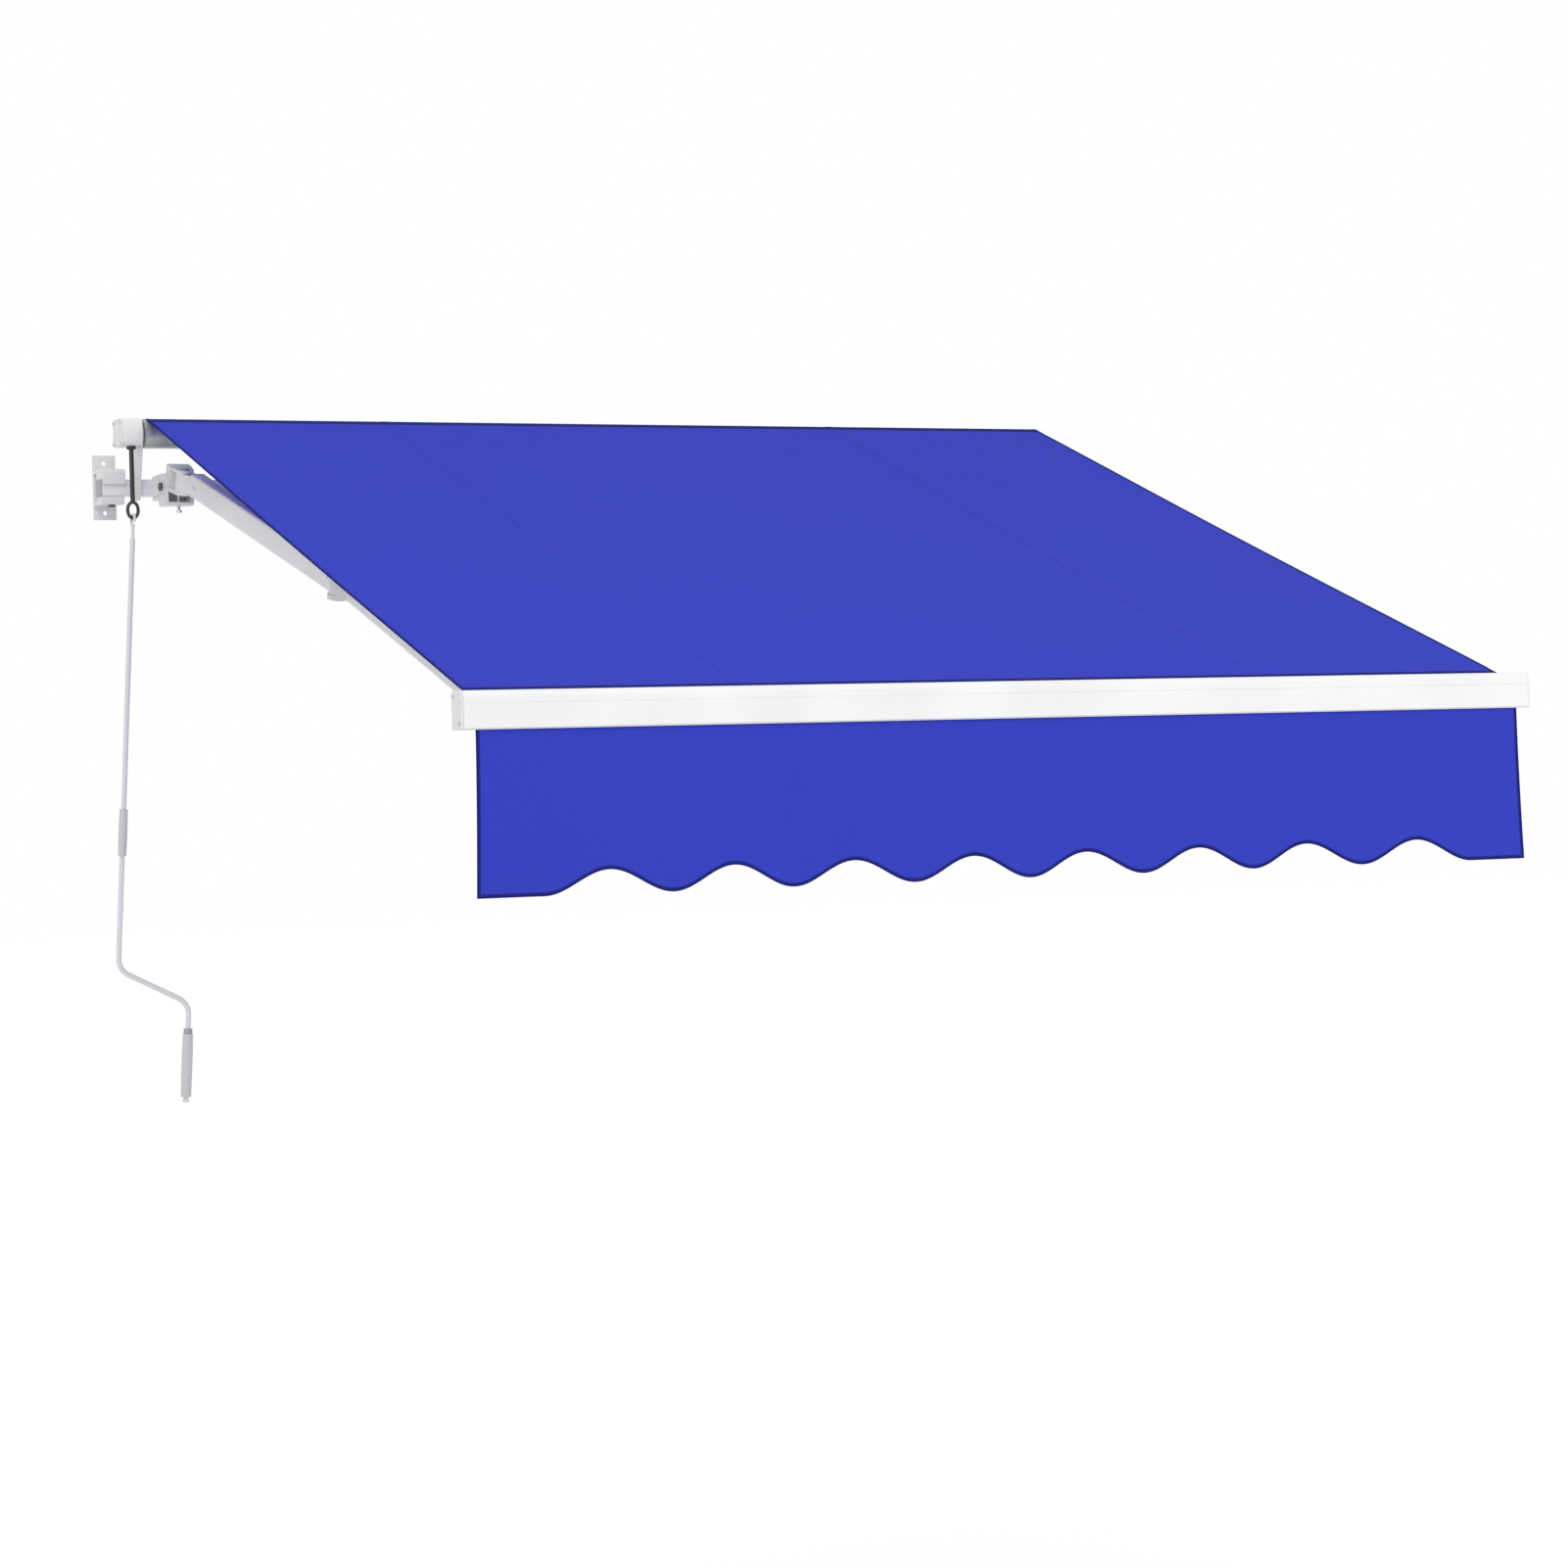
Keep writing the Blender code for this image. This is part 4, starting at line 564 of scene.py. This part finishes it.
class CoatSettings(bpy.types.PropertyGroup):
    """Colours of the metal and plastic pieces."""

    white: FloatVectorProperty(name="White coat", description="Powder coat on bars, arms and roller brackets",
                               subtype="COLOR", size=3, min=0.0, max=1.0, default=(0.89, 0.892, 0.895))
    casting: FloatVectorProperty(name="Casting coat", description="Powder coat on the castings",
                                 subtype="COLOR", size=3, min=0.0, max=1.0, default=(0.84, 0.825, 0.825))
    crank: FloatVectorProperty(name="Crank coat", description="Coat on the crank's rod",
                               subtype="COLOR", size=3, min=0.0, max=1.0, default=(0.80, 0.805, 0.80))
    zinc: FloatVectorProperty(name="Zinc plate", description="Pins, screws, rivets and springs",
                              subtype="COLOR", size=3, min=0.0, max=1.0, default=(0.60, 0.61, 0.62))
    # The bolts' near-black coat is partly painted shade, standing for the dark gaps between the bracket
    # plates
    bolt: FloatVectorProperty(name="Blacked bolts", description="Bolts through the brackets and tilt blocks",
                              subtype="COLOR", size=3, min=0.0, max=1.0, default=(0.16, 0.155, 0.16))
    roller: FloatVectorProperty(name="Roller", description="Zinc-dipped roller tube",
                                subtype="COLOR", size=3, min=0.0, max=1.0, default=(0.50, 0.51, 0.52))
    bronze: FloatVectorProperty(name="Bronze", description="The worm wheel",
                                subtype="COLOR", size=3, min=0.0, max=1.0, default=(0.62, 0.44, 0.20))
    grey: FloatVectorProperty(name="Grey plastic", description="Plugs, collar and the square bar's caps",
                              subtype="COLOR", size=3, min=0.0, max=1.0, default=(0.40, 0.41, 0.42))
    grip: FloatVectorProperty(name="Grip plastic", description="The crank's sleeve and handle",
                              subtype="COLOR", size=3, min=0.0, max=1.0, default=(0.66, 0.665, 0.665))
    black: FloatVectorProperty(name="Black plastic", description="Winding eye, its bush and the beads",
                               subtype="COLOR", size=3, min=0.0, max=1.0, default=(0.028, 0.028, 0.031))


class StageSettings(bpy.types.PropertyGroup):
    """The studio round the awning."""

    floor_level: FloatProperty(name="Floor level", description="Height of the floor, from the square bar",
                               unit="LENGTH", min=-6.0, max=-1.6, default=-2.9)
    lens: FloatProperty(name="Lens", description="Focal length on a 36 mm sensor, in millimetres",
                        unit="CAMERA", min=20.0, max=300.0, default=96.9)
    sky: FloatProperty(name="Sky light", description="Strength of the even light from all round",
                       min=0.0, max=2.0, default=0.74)


def settings(context):
    """The scene's sizes and colours: the cloth's, the coats' and the stage's."""
    return context.scene.awning_cloth, context.scene.awning_coat, context.scene.awning_stage


# Cloth

def scallop_height(x, cloth):
    """Height of the lower edge above the lobes' foot.

    It is the notches' depth times one less the square of a wave which is nil at each notch. Past the last
    notches the edge is flat.
    """
    half_span = (cloth.scallops - 1) * cloth.scallop_pitch / 2
    phase = math.pi * x / cloth.scallop_pitch
    wave = np.cos(phase) if cloth.scallops % 2 == 0 else np.sin(phase)
    past = np.abs(x) - half_span > cloth.scallop_pitch / 2
    return np.where(past, 0.0, cloth.scallop_depth * (1 - wave ** 2))


def step_up(distance, width):
    """0 to 1 over a width: three times the square of the distance's share of it, less twice the cube."""
    share = np.clip(distance / width, 0.0, 1.0)
    return share * share * (3 - 2 * share)


class AWNING_OT_canopy(bpy.types.Operator):
    """Stretches the canopy from the roller to the front bar"""

    bl_idname = "awning.canopy"
    bl_label = "Canopy"

    def execute(self, context):
        cloth = settings(context)[0]
        half_width = CLOTH_HIGH[0]
        run = FRAME_CLOTH * math.cos(SLOPE)
        length = (CLOTH_HIGH[2] - CLOTH_LOW[2] - run) / math.sin(SLOPE)
        start = np.array([0.0, CLOTH_HIGH[1] - FRAME_CLOTH / 2 * math.sin(SLOPE), CLOTH_HIGH[2] - run / 2])
        seam_edges = (cloth.seam_place - cloth.seam_width / 2, cloth.seam_place + cloth.seam_width / 2)
        x, v = self.grid(half_width, length, (half_width - cloth.tape_width, *seam_edges))
        middle = start + v[..., None] * ALONG + self.lift(cloth, x, v / length, half_width)[..., None] * ABOVE
        middle[..., 0] = x
        side = np.abs(x)
        hem = step_up(side - (half_width - cloth.tape_width), STEP)
        seam = step_up(side - seam_edges[0], STEP) - step_up(side - seam_edges[1], STEP)
        thin = step_up(v - (length - THIN_FROM), THIN_RUN)
        half = cloth.thickness / 2 * (1 - 0.5 * thin)
        outer = half * (1 + CANOPY_EXTRA * np.maximum(hem, seam) * (1 - thin))
        points, faces = cloth_solid(middle, outer, half, ABOVE)
        seam_lines = [cloth.seam_place + share * cloth.seam_width for share in (-SEAM_STITCH, SEAM_STITCH)]
        canvas = awning_cloth("canopy_canvas", cloth, half_width, length, seam_lines)
        sheet = piece("canopy_cloth", points, faces, canvas, "wall_frame", "blue_cloth", cloth_map(x, v))
        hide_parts("canopy")
        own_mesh(sheet)
        return {"FINISHED"}

    def grid(self, half_width, length, edges):
        """Places across and down the cloth, closer at each edge of a tape or seam and at the groove."""
        marks = np.array([edge + shift for edge in edges for shift in (-STEP, 0.0, STEP)])
        across = np.unique(np.round(np.concatenate([np.linspace(-half_width, half_width, 121),
                                                    marks, -marks]), 6))
        at_groove = np.array([THIN_FROM, THIN_FROM - THIN_RUN / 2, THIN_FROM - THIN_RUN, 0.0])
        last_row = length - THIN_FROM - THIN_RUN / 2
        return np.meshgrid(across, np.concatenate([np.linspace(0.0, last_row, 90), length - at_groove]))

    def lift(self, cloth, x, share, half_width):
        """Height over a flat cloth: a sag, a quarter less at the sides, with a faint ripple and pull.

        All of it is nil at both ends, and swells as the square of share times the square of its rest. The
        ripple is a sine across the cloth, and the pull the square of a cosine.
        """
        belly = 16 * share ** 2 * (1 - share) ** 2
        ripple = RIPPLE * np.sin(2 * math.pi * x / RIPPLE_LENGTH + RIPPLE_DRIFT * share) * belly
        pull = PULL * belly * np.cos(math.pi * x / half_width) ** 2
        return -cloth.sag * belly * (1 - 0.25 * (x / half_width) ** 2) + ripple + pull

    def share_left(self, length):
        """The share of the cloth's run along the arms that is still out when they are folded.

        An arm is two equal links, so its reach is twice a link times the cosine of the shoulder's angle.
        """
        link = np.linalg.norm(ELBOW - SHOULDER)
        reach = np.linalg.norm(FRONT_PIVOT - SHOULDER)
        lean = math.acos(reach / 2 / link)
        fold = math.radians(max(JOINTS["left_shoulder_fold"]["range_deg"]))
        travel = reach - 2 * link * math.cos(lean + fold)
        return 1 - travel / float(length * ALONG @ ARM_TRAVEL)


class AWNING_OT_valance(bpy.types.Operator):
    """Hangs the scalloped valance from the front bar"""

    bl_idname = "awning.valance"
    bl_label = "Valance"

    def execute(self, context):
        cloth = settings(context)[0]
        half_width = VALANCE_HIGH[0]
        top, foot = VALANCE_HIGH[2], VALANCE_LOW[2]
        plane = (VALANCE_LOW[1] + VALANCE_HIGH[1]) / 2
        across = np.linspace(-half_width, half_width, 541)
        # Rows lie closer near the cut edge, where the tape starts
        share = np.concatenate([np.linspace(0.0, 0.93, 20), np.linspace(0.95, 1.0, 9)])
        x, v = np.meshgrid(across, share)
        edge = foot + scallop_height(x, cloth)
        z = top + v * (edge - top)
        middle = np.stack([x, plane + self.hang(cloth, x, v, half_width), z], -1)
        from_edge = z - edge
        hem = 1 - step_up(from_edge - cloth.tape_width, CUT_EDGE_STEP)
        side_hem = step_up(np.abs(x) - (half_width - cloth.tape_width), SIDE_STEP)
        half = cloth.thickness / 2 * (1 + VALANCE_EXTRA * np.maximum(hem, side_hem))
        points, faces = cloth_solid(middle, half, half, np.array([0.0, -1.0, 0.0]))
        canvas = awning_cloth("valance_canvas", cloth, half_width, top - foot, (), scalloped=True)
        uv = cloth_map(x, from_edge)
        sheet = piece("valance_cloth", points, faces, canvas, "front_bar", "blue_cloth", uv)
        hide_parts("valance")
        return {"FINISHED"}

    def hang(self, cloth, x, v, half_width):
        """How far the cloth hangs inwards: sines across it and swung corners, which grow as a power of v.

        The swing starts half-way to each side, as the square of a smooth step.
        """
        soft = sum(share * np.sin(2 * math.pi * x / length + start) for share, length, start in WAVES)
        ends = np.sign(x) * step_up(np.abs(x) - 0.5 * half_width, 0.5 * half_width) ** 2
        return v ** HANG_POWER * (cloth.wave * soft - cloth.swing * ends)


class AWNING_OT_fasteners(bpy.types.Operator):
    """Adds the screws and rivets that hold the covers, caps and tubes"""

    bl_idname = "awning.fasteners"
    bl_label = "Screws and rivets"

    def execute(self, context):
        steel = bare_metal("screw_zinc", settings(context)[1].zinc, 0.30)
        self.cover_screws(steel)
        for side, word in ((-1, "left"), (1, "right")):
            self.cap_screws(word, side, steel)
            self.tube_rivets(word, side, steel)
        return {"FINISHED"}

    def cover_screws(self, steel):
        """A screw in each corner of the gearbox cover."""
        low, high = (np.array(corner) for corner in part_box("gearbox_cover"))
        spots = [(low[0] - SEAT, y, z) for y in (low[1] + COVER_SCREW_INSET, high[1] - COVER_SCREW_INSET)
                 for z in (low[2] + COVER_SCREW_INSET, high[2] - COVER_SCREW_INSET)]
        screws = [socket_screw(spot, (-1, 0, 0), *COVER_SCREW) for spot in spots]
        piece("gearbox_cover_screws", *gather(screws), steel, "wall_frame", "zinc_steel")

    def cap_screws(self, word, side, steel):
        """Two screws in an end cap of the front bar: high at its back, and low at its front."""
        low, high = (np.array(corner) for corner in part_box("front_cap_" + word))
        face = low[0] - SEAT if side < 0 else high[0] + SEAT
        spots = [(face, high[1] - CAP_SCREW_UPPER[0], high[2] - CAP_SCREW_UPPER[1]),
                 (face, low[1] + CAP_SCREW_LOWER[0], low[2] + CAP_SCREW_LOWER[1])]
        screws = [socket_screw(spot, (side, 0, 0), *CAP_SCREW) for spot in spots]
        piece("front_cap_screws_" + word, *gather(screws), steel, "front_bar", "zinc_steel")

    def tube_rivets(self, word, side, steel):
        """Rivets through the side walls of each arm tube, near its ends."""
        mirror = np.array([-side, 1.0, 1.0])
        shoulder, elbow, front = SHOULDER * mirror, ELBOW * mirror, FRONT_PIVOT * mirror
        for start, end, body, width in ((shoulder, elbow, "upper_arm", UPPER_ARM_WIDTH),
                                        (elbow, front, "forearm", FOREARM_WIDTH)):
            run = end - start
            reach = np.linalg.norm(run)
            run /= reach
            inwards = np.cross(ARM_AXIS, run)
            heads = []
            for along in (*RIVET_PLACES, *(reach - place for place in RIVET_PLACES)):
                for face in (-1, 1):
                    spot = start + run * along + inwards * (face * (width / 2 + SEAT) - side * TUBE_INSET)
                    heads.append(rivet(spot, face * inwards, *RIVET))
            piece(body + "_rivets_" + word, *gather(heads), steel, word + "_" + body, "zinc_steel")


class AWNING_OT_bush(bpy.types.Operator):
    """Adds the bush that the winding eye's shaft leaves the housing through"""

    bl_idname = "awning.bush"
    bl_label = "Winding eye's bush"

    def execute(self, context):
        plastic = moulded_plastic("bush_plastic", settings(context)[1].black, 0.42)
        turn = JOINTS["crank_turn"]["pos_m"]
        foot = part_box("gearbox_housing")[0][2]
        points, faces = bush((turn[0], turn[1], foot - 2 * SEAT), (0, 0, -1))
        piece("winding_eye_bush", points, faces, plastic, "wall_frame", "black_plastic")
        return {"FINISHED"}


class AWNING_OT_grips(bpy.types.Operator):
    """Moulds the crank's turning sleeve and handle"""

    bl_idname = "awning.grips"
    bl_label = "Crank grips"

    def execute(self, context):
        plastic = moulded_plastic("grip_plastic", settings(context)[1].grip)
        for node, joint in (("crank_sleeve", "sleeve_spin"), ("crank_handle", "handle_spin")):
            axis = np.array(JOINTS[joint]["axis"])
            spin = np.array(JOINTS[joint]["pos_m"])
            vertices = NODES[node].data.vertices
            points = np.empty(3 * len(vertices), dtype=np.float32)
            vertices.foreach_get("co", points)
            points = points.reshape(-1, 3) - spin
            along = points @ axis
            radius = np.linalg.norm(points - along[:, None] * axis, axis=1)
            grip = self.grip(spin, axis, (along.min(), along.max()), (radius.min(), radius.max()))
            moulded = piece(node + "_grip", *grip, plastic, node, "grey_plastic", smooth=50.0)
            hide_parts(node)
        return {"FINISHED"}

    def grip(self, spin, axis, ends, radii):
        """A hollow grip, as one closed surface: up its outside from end to end, and back through its bore.

        Each end's rim rounds up from 0.92 to 0.97 of the outer radius. Between the rims the radius swells
        from 0.90 of it as a power of a sine, less flutes, which are squares of raised cosines. The flutes
        stop at a plain ring at each end.
        """
        low, high = ends
        inner, outer = radii
        level = np.linspace(0.0, 1.0, GRIP_LEVELS)
        rim = np.minimum(step_up(level, END_RIM), step_up(1 - level, END_RIM))
        swell = 0.90 + 0.10 * np.sin(math.pi * level) ** 0.6
        outside = outer * np.where(rim < 1, 0.97 - 0.05 * (1 - rim), swell)
        flute = 1 - FLUTE_DEPTH * (0.5 + 0.5 * np.cos(FLUTES * even_angles(GRIP_SIDES))) ** 2
        fluted = ((level > END_RING) & (level < 1 - END_RING))[:, None]
        bore = np.full((2, GRIP_SIDES), inner)
        reach = np.concatenate([outside[:, None] * np.where(fluted, flute, 1.0), bore])
        height = np.concatenate([low + level * (high - low), [high, low]])
        points = around(spin, axis, np.array([0.0, 1.0, 0.0]), reach, height)
        return points, grid_faces(len(height), GRIP_SIDES, close_rows=True, close_columns=True)


class AWNING_OT_finishes(bpy.types.Operator):
    """Gives every carried-over piece its finish"""

    bl_idname = "awning.finishes"
    bl_label = "Finishes"

    def execute(self, context):
        coat = settings(context)[1]
        groups = (
            (powder_coat("bar_coat", coat.white, 700.0, 0.00008, drawn=(3, 500, 500)),
             ("torsion_bar", "front_bar")),
            (powder_coat("arm_tube_coat", coat.white, 700.0, 0.00008),
             ("upper_arm_", "forearm_", "roller_bracket_")),
            (powder_coat("casting_coat", coat.casting, 380.0, 0.00022),
             ("wall_bracket_", "arm_bracket_", "tilt_block_", "shoulder_knuckle_", "elbow_fork_",
              "elbow_tongue_", "front_knuckle_", "arm_clamp_", "front_cap_", "gearbox_")),
            (powder_coat("crank_coat", coat.crank, 800.0, 0.00006), ("crank_rod",)),
            (bare_metal("zinc_plate", coat.zinc, 0.32),
             ("pitch_screw_", "shoulder_pin_", "elbow_pin_", "front_pin_", "roller_stub_", "arm_spring_")),
            # Near-black bolts: a blacked finish that is partly painted shade between the bracket plates
            (bare_metal("blacked_bolt_and_shade", coat.bolt, 0.45), ("bracket_bolt_", "tilt_bolt_")),
            (galvanised("roller_zinc", coat.roller), ("roller_tube",)),
            (moulded_plastic("grey_moulding", coat.grey), ("torsion_bar_cap_", "roller_plug_", "crank_")),
            (moulded_plastic("black_moulding", coat.black, 0.42),
             ("worm_shaft", "roller_bead", "cloth_bead", "valance_bead")),
            (bare_metal("wheel_bronze", coat.bronze, 0.34, grain=600.0), ("worm_wheel",)),
        )
        for name, node in NODES.items():
            if name in ("canopy", "valance"):
                continue
            match = [(len(start), finish) for finish, starts in groups for start in starts
                     if name.startswith(start)]
            if not match:
                raise RuntimeError("no finish for " + name)
            node.data.materials.clear()
            node.data.materials.append(max(match, key=lambda found: found[0])[1])
        return {"FINISHED"}


class AWNING_OT_stage(bpy.types.Operator):
    """Sets the floor, the soft light and the camera"""

    bl_idname = "awning.stage"
    bl_label = "Studio"

    def execute(self, context):
        stage = settings(context)[2]
        self.floor(stage)
        self.sky(context, stage)
        for lamp in LAMPS:
            self.lamp(*lamp)
        self.camera(context, stage)
        context.scene.view_settings.view_transform = "Standard"
        return {"FINISHED"}

    def floor(self, stage):
        """A pale floor that keeps the shadow, shows nearly white to the camera, and is clear from below."""
        reach, level = FLOOR_REACH, stage.floor_level
        mesh = bpy.data.meshes.new("floor")
        mesh.from_pydata([(-reach, -reach, level), (reach, -reach, level), (reach, reach, level),
                          (-reach, reach, level)], [], [(0, 1, 2, 3)])
        pale = bpy.data.materials.new("floor_pale")
        pale.use_nodes = True
        tree = pale.node_tree
        tree.nodes.clear()
        matt = add_node(tree, "BsdfDiffuse", FLOOR_GREY)
        ray = add_node(tree, "LightPath").outputs
        seen = add_node(tree, "Math", ray["Is Camera Ray"], ray["Is Glossy Ray"], operation="MAXIMUM")
        gain = add_node(tree, "Math", seen.outputs[0], FLOOR_GLOW, operation="MULTIPLY")
        glow = add_node(tree, "Emission", WHITE, gain.outputs[0])
        both = add_node(tree, "AddShader", matt.outputs[0], glow.outputs[0])
        below = add_node(tree, "NewGeometry").outputs["Backfacing"]
        clear = add_node(tree, "BsdfTransparent")
        shown = add_node(tree, "MixShader", below, both.outputs[0], clear.outputs[0])
        add_node(tree, "OutputMaterial", shown.outputs[0])
        mesh.materials.append(pale)
        floor = bpy.data.objects.new("floor", mesh)
        bpy.context.scene.collection.objects.link(floor)

    def sky(self, context, stage):
        """Even light from all round, and plain white where the camera or a gloss looks at it."""
        world = bpy.data.worlds.new("studio")
        context.scene.world = world
        world.use_nodes = True
        tree = world.node_tree
        tree.nodes.clear()
        light = add_node(tree, "Background", WHITE, stage.sky)
        white = add_node(tree, "Background", WHITE, 1.0)
        ray = add_node(tree, "LightPath").outputs
        direct = add_node(tree, "Math", ray["Is Camera Ray"], ray["Is Glossy Ray"], operation="MAXIMUM")
        seen = add_node(tree, "Math", direct.outputs[0], ray["Is Transmission Ray"], operation="MAXIMUM")
        mix = add_node(tree, "MixShader", seen.outputs[0], light.outputs[0], white.outputs[0])
        add_node(tree, "OutputWorld", mix.outputs[0])

    def lamp(self, name, place, size, power):
        """A square soft light that looks at the middle of the awning."""
        light = bpy.data.lights.new(name, "AREA")
        light.size = size
        light.energy = power
        lamp = bpy.data.objects.new(name, light)
        bpy.context.scene.collection.objects.link(lamp)
        ahead = LAMP_TARGET - np.array(place)
        lamp.matrix_world = facing(place, ahead / np.linalg.norm(ahead), 0.0)

    def camera(self, context, stage):
        """The viewpoint: low, to the left of the awning, looking along the wall to the right."""
        level = math.cos(CAMERA_PITCH)
        ahead = np.array([math.sin(CAMERA_YAW) * level, math.cos(CAMERA_YAW) * level, math.sin(CAMERA_PITCH)])
        lens = bpy.data.cameras.new("camera")
        lens.sensor_width = SENSOR_WIDTH
        lens.lens = stage.lens
        lens.clip_end = FAR
        camera = bpy.data.objects.new("camera", lens)
        bpy.context.scene.collection.objects.link(camera)
        camera.matrix_world = facing(CAMERA_PLACE, ahead, CAMERA_ROLL)
        context.scene.camera = camera


def facing(place, ahead, roll):
    """The matrix of a camera or lamp at place that looks along ahead, rolled about its line of sight."""
    right = np.cross(ahead, (0, 0, 1))
    right /= np.linalg.norm(right)
    up = np.cross(right, ahead)
    rolled_right = math.cos(roll) * right + math.sin(roll) * up
    rolled_up = -math.sin(roll) * right + math.cos(roll) * up
    rows = np.stack([rolled_right, rolled_up, -ahead], axis=1)
    return Matrix([[*rows[i], place[i]] for i in range(3)] + [[0, 0, 0, 1]])


class AWNING_PT_panel(bpy.types.Panel):
    """The awning's pieces and settings"""

    bl_label = "Folding-arm awning"
    bl_idname = "AWNING_PT_panel"
    bl_space_type = "VIEW_3D"
    bl_region_type = "UI"
    bl_category = "Awning"

    def draw(self, context):
        layout = self.layout
        for operator in OPERATORS:
            layout.operator(operator.bl_idname)
        for group in settings(context):
            box = layout.box()
            for key in type(group).__annotations__:
                box.prop(group, key)


OPERATORS = (AWNING_OT_stage, AWNING_OT_finishes, AWNING_OT_canopy, AWNING_OT_valance, AWNING_OT_fasteners,
             AWNING_OT_bush, AWNING_OT_grips)
CLASSES = (ClothSettings, CoatSettings, StageSettings, *OPERATORS, AWNING_PT_panel)


def register():
    for cls in CLASSES:
        bpy.utils.register_class(cls)
    bpy.types.Scene.awning_cloth = PointerProperty(type=ClothSettings)
    bpy.types.Scene.awning_coat = PointerProperty(type=CoatSettings)
    bpy.types.Scene.awning_stage = PointerProperty(type=StageSettings)


def unregister():
    del bpy.types.Scene.awning_cloth
    del bpy.types.Scene.awning_coat
    del bpy.types.Scene.awning_stage
    for cls in reversed(CLASSES):
        bpy.utils.unregister_class(cls)


def main():
    """Builds the awning and its studio."""
    register()
    bpy.ops.awning.stage()
    bpy.ops.awning.finishes()
    bpy.ops.awning.canopy()
    bpy.ops.awning.valance()
    bpy.ops.awning.fasteners()
    bpy.ops.awning.bush()
    bpy.ops.awning.grips()


if __name__ == "__main__":
    main()
